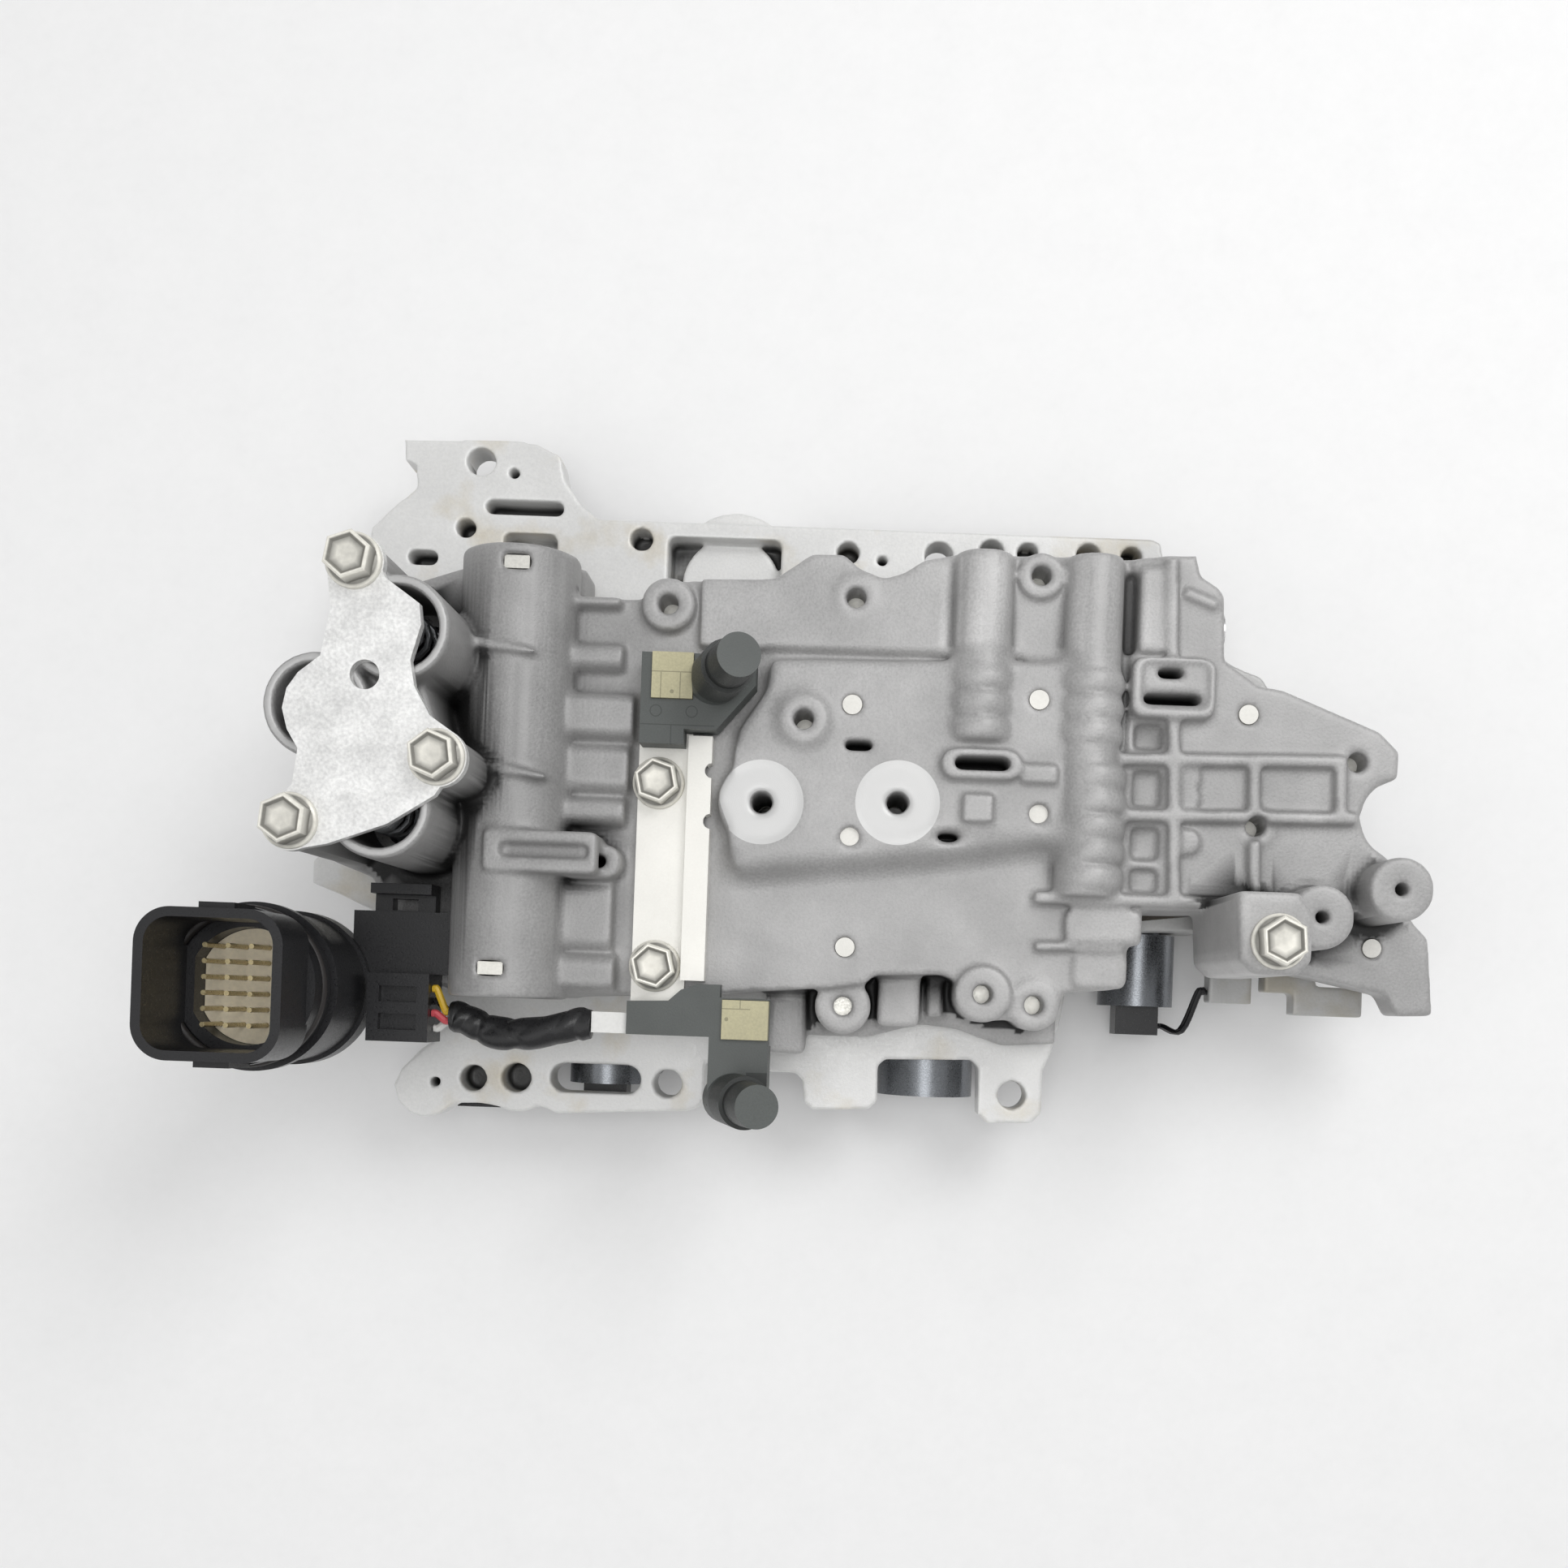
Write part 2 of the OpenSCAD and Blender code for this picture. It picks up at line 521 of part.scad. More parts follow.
// Upper casting: valve tube, ridges and accumulator barrels in one piece
module upper_valve_body() {
    color([0.56, 0.56, 0.57])
    difference() {
        upper_masses();
        // Valve bores
        cyl_y([tube_x, tube_y0 - 1, tube_z], tube_bore / 2, tube_len + 2);
        for (i = [0, 1])
            cyl_y([ridge_x[i], ridge_y0[i], ridge_z], ridge_bore / 2, ridge_y1 - ridge_y0[i] + 1);
        // Windows of the plug keys, and the groove that leads to the slot beside the tube
        for (k = key_at())
            block([k[0] - 3.4, k[1] - 1.9, tube_z], [k[0] + 3.4, k[1] + 1.9, tube_z + tube_r + 2]);
        rounded([-82, -24.4], [-60, -20.8], 1, tube_z + tube_r - 0.8, tube_z + tube_r + 4);
        // Accumulator bores with their feed holes
        for (a = acc) {
            post(a, acc_id / 2, acc_floor, acc_top + 1);
            post(a, 2.5, z_joint - 1, acc_floor + 1);
        }
        for (b = cover_bolt) post(b, bolt_d / 2 + run_fit, acc_top - 16, acc_top + 1);
        // Tapped holes, dowel holes and machined discs
        for (p = tapped) post(p, bolt_d / 2 + run_fit, z_joint - 1, z_floor + p[3] + 12);
        for (p = strip_bolt) post(p, bolt_d / 2 + run_fit, z_floor - 15, z_floor + 1);
        post(arm_bolt, bolt_d / 2 + run_fit, z_arm - 15, z_arm + 1);
        for (p = dowel) post(p, dowel_d / 2 + run_fit, z_joint - 1, z_floor + p[2] + 14);
        for (p = tall_boss) post(p, tall_hole_r, tall_top - p[2], tall_top + 1);
        for (p = disc) {
            post(p, disc_r, z_pad - 0.4, z_pad + 12);
            post(p, 2.75, z_joint - 1, z_pad);
        }
        // Slots
        slot([-61.2, -24.2], 9, 3.4, z_floor - 8, z_floor + 10);
        slot([5, 7.4], 7.2, 2.6, z_floor - 6, z_pad + 2);
        slot([28.4, -14.6], 7.6, 2.6, z_floor - 6, z_pad + 2);
        slot([36, 3.6], 14.2, 3.4, z_floor - 6, z_pad + 5);
        slot([82.8, 28.7], 6.8, 2.6, z_rib - 10, z_rib + 8);
        slot([83.4, 22.1], 14.8, 2.8, z_rib - 10, z_rib + 8);
        rounded([75.4, 19.6], [92.6, 31.4], 2, z_rib + 3.2, z_rib + 6);
        // Small pockets beside the ridge, and the groove above them
        for (y = [[9.6, 16.2], [-5, 4.4], [-18.4, -10], [-26.6, -20.4]])
            rounded([74.6, y[0]], [82, y[1]], 1.2, z_rib - pocket_depth, z_rib + 1);
        rounded([71.2, 33.6], [74.4, 54.4], 1.2, z_rib - 4, z_rib + 10);
        post([143, -5.5], 10, z_joint - 1, z_rib + 1);
        // Oil passages open to the joint face
        for (x = [-56:22:-12]) block([x, -40, z_joint - 1], [x + 9, 34, z_joint + 9]);
        block([8, -40, z_joint - 1], [14, -20, z_joint + 9]);
        block([24, -38, z_joint - 1], [46, -26, z_joint + 9]);
        block([8, 24, z_joint - 1], [44, 36, z_joint + 9]);
        block([76, -24, z_joint - 1], [98, -14, z_joint + 9]);
        block([76, 34, z_joint - 1], [92, 48, z_joint + 9]);
    }
}

// Places of the two plug keys
function key_at() = [[-80.6, tube_y1 - 4.6], [-83.6, tube_y0 + 7.2]];

// Gaskets and separator plate
module upper_gasket() {
    color([0.32, 0.3, 0.26]) translate([0, 0, z_gasket2]) linear_extrude(gasket_t) joint_plan();
}

module separator_plate() {
    color([0.7, 0.7, 0.68]) translate([0, 0, z_plate]) linear_extrude(plate_t) joint_plan();
}

module lower_gasket() {
    color([0.32, 0.3, 0.26]) translate([0, 0, z_gasket]) linear_extrude(gasket_t) joint_plan();
}

// Lower casting: flange with the case bolt holes, solenoid and manual valve bores
module lower_valve_body() {
    color([0.86, 0.86, 0.85])
    difference() {
        union() {
            translate([0, 0, z_flange]) linear_extrude(flange_t) lower_plan();
            linear_extrude(lower_h - 1) core_plan();
            post([-30.3, 59.2], 16.5, 0, lower_h - 5);
            block([lug_x, -53.4, z_flange], [lug_x + 11.6, -33, lower_h - 4]);
            block([126, -56, z_flange], [145, -48, lower_h - 4]);
            block([118, -50, z_flange], [132, -24, lower_h - 4]);
        }
        for (p = case_hole) post(p, case_hole_d / 2, z_flange - 1, lower_h + 1);
        for (p = small_hole) post(p, p[2], z_flange + 1.5, lower_h + 1);
        // Window, slots and recesses of the flange
        difference() {
            rounded([-48.2, 52], [-17.8, 67.2], 2, lower_h - 10, lower_h + 1);
            post([-31.4, 55.6], 13.4, lower_h - 12, lower_h - 5);
        }
        slot([-87.4, 73.4], 21, 3.8, z_flange + 1.5, lower_h + 1);
        slot([-62.7, -80], 24.4, 7.8, z_flange - 1, lower_h + 1);
        slot([-114.4, 59.1], 8, 4, z_flange + 1.5, lower_h + 1);
        rounded([-92.8, 57], [-78.5, 66.6], 2, lower_h - 9, lower_h + 1);
        // Solenoid bores with room for the bodies, and manual valve bore
        for (s = sol) cyl_y([s[0], core_y0 - can_len - 1, sol_z(s[1])], s[1] / 2 + gap, can_len + 1);
        for (s = sol) cyl_y([s[0], core_y0 - 1, sol_z(s[1])], nose_d / 2 + run_fit, nose_len + 2);
        cyl_y([side_sol[0], side_sol[1] - 2, sol_z(can_d)], nose_d / 2 + run_fit, nose_len + 2);
        cyl_x([manual_x0, manual_y, manual_z], manual_d / 2 + run_fit, 90);
        // Bolt holes with sunk heads
        for (p = tapped) {
            post(p, bolt_d / 2 + 0.4, -1, lower_h + 1);
            post(p, bolt_flange_d / 2 + 0.6, -1, head_h + 1);
        }
        for (p = dowel) if (p[0] < 120) post(p, dowel_d / 2 + run_fit, lower_h - 8, lower_h + 1);
        // Oil passages open to the joint face
        for (x = [-52:26:52]) block([x, -30, lower_h - 7], [x + 10, 14, lower_h + 1]);
        for (y = [-20, 20]) block([-100, y - 5, lower_h - 7], [-66, y + 5, lower_h + 1]);
    }
}

// Height of a solenoid's axis
function sol_z(d) = d / 2 + 0.6;

// Loose balls in the passages of the upper casting
module check_balls() {
    color([0.75, 0.75, 0.77])
    for (p = [[-51.5, -10], [-29.5, 20], [-7.5, -30], [38, -32], [18, 30]])
        translate([p[0], p[1], z_joint + 3.2 + seat]) sphere(r = 3.2);
}

// Dowels flush with the casting
module dowel_pins() {
    color([0.88, 0.88, 0.86])
    for (p = dowel) {
        low = p[0] < 120 ? lower_h - 7 : z_joint + 0.5;
        post(p, dowel_d / 2, low, z_floor + p[2] - 0.2);
    }
}

// Long bolts from below that hold the two castings together
module body_bolts() {
    color([0.8, 0.8, 0.76])
    for (p = tapped)
        translate([p[0], p[1], head_h + 1 - seat]) rotate([180, 0, 0])
        flange_bolt(z_joint + 15 - head_h);
}

// A spool along +Y with evenly spaced lands
module spool(r, l, lands) {
    step = l / (lands * 2 - 1);
    rotate([-90, 0, 0]) {
        cylinder(r = r * 0.55, h = l);
        for (i = [0:lands - 1]) translate([0, 0, i * step * 2]) cylinder(r = r, h = step);
    }
}

// Regulator valve train: plugs at both ends, the lower one with a stop stem inside the spring
module regulator_spool() {
    color([0.78, 0.79, 0.8])
    translate([tube_x, spool_y0, tube_z]) spool(tube_bore / 2 - run_fit, tube_spool_len, 4);
}

module regulator_spring() {
    color([0.6, 0.62, 0.64])
    translate([tube_x, spring_y0 + gap / 2, tube_z]) rotate([-90, 0, 0])
    coil(tube_bore * 0.72, 1.8, spool_y0 - spring_y0 - gap, 8);
}

module regulator_plugs() {
    color([0.68, 0.68, 0.68])
    difference() {
        union() {
            cyl_y([tube_x, tube_y1 - tube_plug_len, tube_z], tube_bore / 2 - run_fit, tube_plug_len - 1);
            cyl_y([tube_x, tube_y0 + 1, tube_z], tube_bore / 2 - run_fit, tube_plug_len - 1);
            cyl_y([tube_x, spring_y0 - 1, tube_z], tube_bore * 0.23,
                spool_y0 - tube_stroke - gap - spring_y0 + 1);
        }
        for (k = key_at())
            block([k[0] - 3.2, k[1] - 1.7, tube_z + 2], [k[0] + 3.2, k[1] + 1.7, tube_z + tube_r]);
    }
}

module regulator_keys() {
    color([0.8, 0.78, 0.7])
    for (k = key_at())
        block([k[0] - 3.1, k[1] - 1.6, tube_z + 2 + seat], [k[0] + 3.1, k[1] + 1.6, tube_z + tube_r - 1.6]);
}

// Ridge valve trains: spool at the blind end, spring, then a plug at the mouth with its stop stem
function ridge_end(i) = ridge_y0[i] + gap + ridge_spool[i];

module ridge_spool(i) {
    color([0.78, 0.79, 0.8])
    translate([ridge_x[i], ridge_y0[i] + gap, ridge_z])
    spool(ridge_bore / 2 - run_fit, ridge_spool[i], 3 + 2 * i);
}

module ridge_spring(i) {
    y0 = ridge_end(i) + gap / 2;
    color([0.6, 0.62, 0.64])
    translate([ridge_x[i], y0, ridge_z]) rotate([-90, 0, 0])
    coil(ridge_bore * 0.7, 0.9, ridge_y1 - ridge_plug_len - y0 - gap / 2, 6);
}

module ridge_plug(i) {
    y0 = ridge_y1 - ridge_plug_len;
    y1 = ridge_end(i) + ridge_stroke + gap;
    color([0.68, 0.68, 0.68]) {
        cyl_y([ridge_x[i], y0, ridge_z], ridge_bore / 2 - run_fit, ridge_plug_len - 1.2);
        cyl_y([ridge_x[i], y1, ridge_z], ridge_bore * 0.21, y0 + 1 - y1);
    }
}

module lockup_spool() {
    ridge_spool(0);
}

module lockup_spring() {
    ridge_spring(0);
}

module lockup_plug() {
    ridge_plug(0);
}

module shift_spool() {
    ridge_spool(1);
}

module shift_spring() {
    ridge_spring(1);
}

module shift_plug() {
    ridge_plug(1);
}

// Hand-selected valve: its grooved end stands out of the lower casting
module manual_valve() {
    r = manual_d / 2;
    color([0.8, 0.8, 0.8])
    difference() {
        union() {
            cyl_x([manual_x0 + 9, manual_y, manual_z], r * 0.6, manual_x1 - manual_x0 - 6);
            for (x = [9, 18, 27]) cyl_x([manual_x0 + x, manual_y, manual_z], r, 5);
            cyl_x([manual_x1 - 2, manual_y, manual_z], r, manual_out + 2);
        }
        translate([manual_x1 + 4, manual_y, manual_z]) rotate([0, 90, 0])
        difference() {
            cylinder(r = r + 1, h = 3);
            translate([0, 0, -1]) cylinder(r = r * 0.6, h = 5);
        }
    }
}

// Accumulator piston: a cup with two seal grooves
module accumulator_piston(i) {
    r = acc_id / 2 - run_fit;
    color([0.82, 0.8, 0.72])
    translate([acc[i][0], acc[i][1], piston_z])
    difference() {
        cylinder(r = r, h = piston_len);
        translate([0, 0, 5]) cylinder(r = r - 2.6, h = piston_len);
        for (z = [3, piston_len - 4]) translate([0, 0, z]) difference() {
            cylinder(r = r + 1, h = 1.6);
            translate([0, 0, -1]) cylinder(r = r - 1.2, h = 4);
        }
    }
}

module accumulator_piston_1() {
    accumulator_piston(0);
}

module accumulator_piston_2() {
    accumulator_piston(1);
}

module accumulator_piston_3() {
    accumulator_piston(2);
}

// Accumulator spring from the piston's cup to the cover
module accumulator_spring(i) {
    z0 = piston_z + 5 + gap / 2;
    color([0.6, 0.62, 0.64])
    translate([acc[i][0], acc[i][1], z0]) coil(acc_id - 9, 1.7, acc_top - z0 - gap / 2, 7);
}

module accumulator_spring_1() {
    accumulator_spring(0);
}

module accumulator_spring_2() {
    accumulator_spring(1);
}

module accumulator_spring_3() {
    accumulator_spring(2);
}

// Pressed cover over the three barrels
module accumulator_cover() {
    color([0.8, 0.8, 0.79])
    difference() {
        union() {
            slab([
                [-108, 44], [-104.4, 36], [-96.4, 30.4], [-95.8, 25.6], [-98, 17.4], [-96.9, 11.5],
                [-93.1, 4.9], [-87.3, 1], [-88, -8], [-91.4, -13.3], [-102, -20.2], [-115.4, -25.2],
                [-121, -26.4], [-130, -18], [-124, -12], [-123, -3.7], [-125.6, 0.6], [-126.9, 5.4],
                [-126, 10], [-123.5, 13.7], [-118.6, 17.7], [-116.6, 28.6], [-117.6, 36]
            ], z_cover, z_cover + cover_t);
            for (b = cover_bolt) post(b, 6.8, z_cover, z_cover + cover_t);
        }
        for (b = cover_bolt) post(b, bolt_d / 2 + 0.4, z_cover - 1, z_cover + cover_t + 1);
        post([-108.3, 13.7], 3.4, z_cover - 1, z_cover + cover_t + 1);
    }
}

module accumulator_cover_bolts() {
    color([0.84, 0.83, 0.78])
    for (b = cover_bolt) translate([b[0], b[1], z_cover + cover_t + seat]) flange_bolt(14);
}

// Folded strip that holds both speed sensors
module sensor_bracket() {
    color([0.88, 0.87, 0.82])
    difference() {
        union() {
            block([-50.2, -67, z_strip], [-36.8, 24, z_strip + sheet_t]);
            block([-37.6, -53, z_strip], [-31.6, 8.4, z_strip + 4.8]);
        }
        block([-36.4, -54, z_strip - 1], [-32.8, 9, z_strip + 3.6]);
        for (y = [-0.2, -12.9]) post([-31.4, y], 1.9, z_strip - 1, z_strip + 6);
        for (p = strip_bolt) post(p, bolt_d / 2 + 0.4, z_strip - 1, z_strip + sheet_t + 1);
    }
}

module sensor_bracket_bolts() {
    color([0.84, 0.83, 0.78])
    for (p = strip_bolt) translate([p[0], p[1], z_strip + sheet_t + seat]) flange_bolt(14);
}

// Leaning sensor barrel with its necked tip, from the point p
module sensor_barrel(p) {
    translate(p) rotate([0, barrel_lean, 0]) {
        cylinder(d = barrel_d, h = barrel_len - 13);
        cylinder(d = barrel_d - 2, h = barrel_len - 9);
        translate([0, 0, barrel_len - 10]) cylinder(d1 = barrel_d - 2, d2 = barrel_d - 2.6, h = 10);
    }
}

// Housing of the upper sensor
module input_speed_sensor() {
    color([0.27, 0.29, 0.29])
    difference() {
        union() {
            slab([
                [-49.4, 5.4], [-49.4, 28], [-21, 28], [-21, 20.5], [-30.4, 9.2], [-38.4, 9.2], [-38.4, 5.4]
            ], z_sensor, z_sensor + housing_h);
            intersection() {
                sensor_barrel([-32.4, 21.9, z_sensor + 3]);
                block([-60, 0, z_sensor], [20, 60, 200]);
            }
        }
        block([term[0][0], term[0][1], z_sensor + 2], [term[0][0] + term_size[0], 40, z_sensor + 20]);
    }
}

module input_sensor_terminal() {
    color([0.72, 0.69, 0.53])
    block([term[0][0] + 0.1, term[0][1] + 0.1, z_sensor + 2 + seat],
        [term[0][0] + term_size[0] - 0.1, 28, z_sensor + housing_h + 0.8]);
}

// Housing of the lower sensor, which overhangs the casting's edge
module output_speed_sensor() {
    color([0.24, 0.24, 0.25])
    difference() {
        union() {
            slab([
                [-50.3, -58.6], [-50.3, -66.9], [-29.6, -66.9], [-29.6, -84], [-14.8, -84], [-14.8, -57],
                [-27.2, -57], [-27.2, -53.8], [-33, -53.8], [-37, -55.4], [-40, -58.2]
            ], z_sensor, z_sensor + housing_h - 2);
            block([-29.6, -84, z_sensor - 8], [-14.8, -69, z_sensor + 1]);
            intersection() {
                sensor_barrel([-24.8, -82.2, z_sensor - 1]);
                block([-60, -120, z_sensor - 4], [20, 0, 200]);
            }
        }
        block([term[1][0], term[1][1], z_sensor + 1.6], [40, term[1][1] + term_size[1], z_sensor + 10]);
    }
}

module output_sensor_terminal() {
    color([0.72, 0.69, 0.53])
    block([term[1][0] + 0.1, term[1][1] + 0.1, z_sensor + 1.6 + seat],
        [-15, term[1][1] + term_size[1] - 0.1, z_sensor + housing_h - 1]);
}

// Plug of the sensor leads beside the connector
module harness_plug() {
    color([0.1, 0.1, 0.11])
    difference() {
        block(plug, plug + plug_size);
        for (y = [3, 10])
            block(plug + [3, y, plug_size[2] - 2], plug + [12.5, y + 4, plug_size[2] + 1]);
    }
}

// Sleeve over the sensor leads
module harness_sleeve() {
    color([0.09, 0.09, 0.1]) strand(led(sleeve_path, 6, 1.5), sleeve_d / 2, 12, [0, 0, 1]);
}

module harness_clip() {
    color([0.92, 0.92, 0.9])
    block([-59.2, -66.8, z_sensor - 1], [-50.5, -61.6, z_sensor + 4]);
}

// One bare lead between the plug and the sleeve
module lead(dy, dz, y) {
    x0 = plug[0] + plug_size[0] + gap / 2;
    x1 = sleeve_x0 - gap / 2;
    z = sleeve_z + 1.2 * dz;
    strand(led([
        [x0 + 0.4, y, z], [x0 + 1, y, z], [(x0 + x1) / 2, (y + dy + sleeve_y0) / 2, z],
        [x1 - 1, sleeve_y0 + dy, z], [x1 - 0.4, sleeve_y0 + dy, z]
    ], 4, 0.4), wire_d / 2, 8, [0, 0, 1]);
}

module wire_yellow() {
    color([0.85, 0.7, 0.12]) lead(1.2, 1, -57.4);
}

module wire_red() {
    color([0.78, 0.3, 0.28]) lead(-1.2, 1, -63.6);
}

module wire_white() {
    color([0.9, 0.9, 0.88]) lead(-1.2, -1, -67.4);
}

module wire_black() {
    color([0.08, 0.08, 0.08]) lead(1.2, -1, -60.6);
}

// A square with round corners about the connector's axis
module mouth_plan(w) {
    r = 8 - (mouth_w - w) / 2;
    square([w - 2 * r, w + 1], center = true);
    square([w, w + 1 - 2 * r], center = true);
    for (x = [-1, 1], y = [-1, 1]) translate([x * (w / 2 - r), y * ((w + 1) / 2 - r)]) circle(r = r);
}

// Case connector: a square mouth on a round shell that seals in the gearbox case
module connector_shell() {
    color([0.08, 0.08, 0.09])
    translate([conn[0], conn[1], 0])
    difference() {
        union() {
            translate([0, 0, z_mouth0 - 1]) linear_extrude(mouth_z - z_mouth0 + 1) mouth_plan(mouth_w);
            translate([0, 0, z_shell]) cylinder(r = shell_r, h = z_mouth0 - z_shell);
            translate([0, 0, z_mouth0 - 14]) cylinder(r = shell_r + 1.6, h = 3);
            translate([0, 0, z_shell]) cylinder(r = shell_r + 1, h = 6);
            for (s = [-1, 1]) translate([-4, s * (mouth_w / 2 + 1) - 1, z_mouth0]) cube([8, 2, 12]);
        }
        translate([0, 0, z_insert]) linear_extrude(mouth_depth) foot_plan(0);
        translate([0, 0, z_insert + 9]) linear_extrude(mouth_depth) mouth_plan(mouth_w - 2 * mouth_wall);
        translate([0, 0, z_shell - 1]) cylinder(r = shell_r - 4, h = 12);
        translate([0, 0, ring_z]) difference() {
            cylinder(r = shell_r + 3, h = ring_w);
            translate([0, 0, -1]) cylinder(r = shell_r - 1.6, h = ring_w + 2);
        }
    }
}

module connector_o_ring() {
    w = ring_w - 0.2;
    color([0.12, 0.1, 0.1])
    translate([conn[0], conn[1], ring_z + ring_w / 2])
    rotate_extrude() translate([shell_r - 1.6 + w / 2 + seat, 0]) circle(d = w, $fn = 20);
}

module connector_insert() {
    color([0.74, 0.68, 0.55])
    translate([conn[0], conn[1], z_insert + seat])
    linear_extrude(insert_t) difference() {
        foot_plan(0.1);
        for (p = pins()) translate(p) circle(d = pin_d + 0.1, $fn = 16);
    }
}

// Four columns of contacts, the last one shorter
function pins() = [for (x = [-2:1], y = [-2.5:2.5])
    if (x < 1 || abs(y) < 2.5) [(x + 0.5) * 5.4, y * 3.7]];

// Narrowed foot of the pocket, round at top and bottom
module foot_plan(c) {
    intersection() {
        square([mouth_w - 2 * mouth_wall - 4 - 2 * c, mouth_w], center = true);
        circle(r = mouth_w / 2 - mouth_wall - 0.4 - c);
    }
}

module connector_pins() {
    color([0.7, 0.64, 0.42])
    for (p = pins())
        translate([conn[0] + p[0], conn[1] + p[1], z_insert + 2 * seat])
        cylinder(d = pin_d, h = 14, $fn = 16);
}

// Arm that ties the connector to the upper casting
module connector_bracket() {
    color([0.1, 0.1, 0.11])
    difference() {
        union() {
            block([-122, plug[1] + plug_size[1] + seat, z_slab + seat], [-97.2, -38, z_slab + 7]);
            block([-117.4, -38.6, z_slab + seat], [-102, -31, z_slab + 4.4]);
            block([-117.4, -33.6, z_slab + seat], [-102, -31, z_slab + 9]);
        }
        post(conn, shell_r + 1 + seat, z_slab - 20, z_slab + 40);
        block([-113, -37.6, z_slab - 1], [-106.4, -34.6, z_slab + 10]);
    }
}

// A solenoid along -Y from the face it is seated on
module solenoid(x, y, d) {
    z = sol_z(d);
    color([0.72, 0.73, 0.74]) {
        cyl_y([x, y - can_len, z], d / 2, can_len - seat);
        cyl_y([x, y - seat - 1, z], nose_d / 2, nose_len + 1);
    }
}

module line_solenoid() {
    solenoid(sol[0][0], core_y0, sol[0][1]);
}

module shift_solenoid_1() {
    solenoid(sol[1][0], core_y0, sol[1][1]);
}

module shift_solenoid_2() {
    solenoid(sol[2][0], core_y0, sol[2][1]);
}

module shift_solenoid_3() {
    solenoid(side_sol[0], side_sol[1], can_d);
}

// Plastic sockets at the outer ends of the solenoids
module socket(x, y, d) {
    z = sol_z(d);
    difference() {
        block([x - 6, y - can_len - 8, z - 4.4], [x + 6, y - can_len - seat, z + 4.4]);
        block([x - 4.6, y - can_len - 9, z - 3], [x + 4.6, y - can_len - 2.4, z + 3]);
    }
}

module solenoid_sockets() {
    color([0.1, 0.1, 0.11]) {
        for (s = [sol[1], sol[2]]) socket(s[0], core_y0, s[1]);
        socket(side_sol[0], side_sol[1], can_d);
    }
}

// Bolt on the arm at the right
module arm_bolt_side() {
    color([0.84, 0.83, 0.78]) translate([arm_bolt[0], arm_bolt[1], z_arm + seat]) flange_bolt(14);
}

// Leads from the side solenoid to the lug beside it
module side_leads() {
    z = sol_z(can_d);
    y = side_sol[1] - can_len - 5.4;
    color([0.07, 0.07, 0.08])
    for (k = [0, 1]) strand(led([
        [side_sol[0] + 6.6 + gap / 2, y, z - 1.6 + 3.2 * k], [side_sol[0] + 8, y, z - 1.6 + 3.2 * k],
        [side_sol[0] + 12, y - 1, lower_h - 17 + 4 * k], [lug_x - 2, -50.6, lower_h - 9.4 + 3.2 * k],
        [lug_x - 0.6 - gap / 2, -50.6, lower_h - 9.4 + 3.2 * k]
    ], 5, 0.6), 0.75, 8, [0, 0, 1]);
}

upper_valve_body();
upper_gasket();
separator_plate();
lower_gasket();
lower_valve_body();
check_balls();
dowel_pins();
body_bolts();
regulator_spool();
regulator_spring();
regulator_plugs();
regulator_keys();
lockup_spool();
lockup_spring();
lockup_plug();
shift_spool();
shift_spring();
shift_plug();
manual_valve();
accumulator_piston_1();
accumulator_piston_2();
accumulator_piston_3();
accumulator_spring_1();
accumulator_spring_2();
accumulator_spring_3();
accumulator_cover();
accumulator_cover_bolts();
sensor_bracket();
sensor_bracket_bolts();
input_speed_sensor();
input_sensor_terminal();
output_speed_sensor();
output_sensor_terminal();
harness_plug();
harness_sleeve();
harness_clip();
wire_yellow();
wire_red();
wire_white();
wire_black();
connector_shell();
connector_insert();
connector_pins();
connector_o_ring();
connector_bracket();
line_solenoid();
shift_solenoid_1();
shift_solenoid_2();
shift_solenoid_3();
solenoid_sockets();
arm_bolt_side();
side_leads();
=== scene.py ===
import math

import bmesh
import bpy
import numpy as np
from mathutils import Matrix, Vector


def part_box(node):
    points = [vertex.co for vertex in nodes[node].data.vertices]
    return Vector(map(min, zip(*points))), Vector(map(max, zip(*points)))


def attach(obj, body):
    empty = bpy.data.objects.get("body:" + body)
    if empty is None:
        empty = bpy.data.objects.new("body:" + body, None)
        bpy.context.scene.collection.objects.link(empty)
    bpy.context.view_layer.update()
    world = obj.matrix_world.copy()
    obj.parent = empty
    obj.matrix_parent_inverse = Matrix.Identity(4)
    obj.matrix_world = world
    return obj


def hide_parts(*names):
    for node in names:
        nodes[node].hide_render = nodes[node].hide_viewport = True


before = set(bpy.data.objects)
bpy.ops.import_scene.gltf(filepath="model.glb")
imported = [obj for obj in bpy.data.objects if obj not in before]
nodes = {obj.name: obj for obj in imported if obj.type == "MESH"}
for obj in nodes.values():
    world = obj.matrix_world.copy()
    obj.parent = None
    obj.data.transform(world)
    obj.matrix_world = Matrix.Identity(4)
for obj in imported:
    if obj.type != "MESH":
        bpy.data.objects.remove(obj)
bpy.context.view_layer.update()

# Lower casting
# A die casting in bare aluminium, milled flat on the joint face and drilled for the case bolts.
# It carries the solenoids and the manual valve, and is the lightest metal of the assembly.
ROUND = 96  # points round a turned shape
SOFT_SLOPE = 1.6
HOLLOW_REACH = 5  # cells to each side that give the height of the casting around a point
HOLLOW_COVER = 0.8  # share of those cells that the casting has to fill
# Depth under the casting around a point where the painted shade in hollows starts, and the further depth at which
# it is full:
HOLLOW_START = 0.003
HOLLOW_DEPTH = 0.004


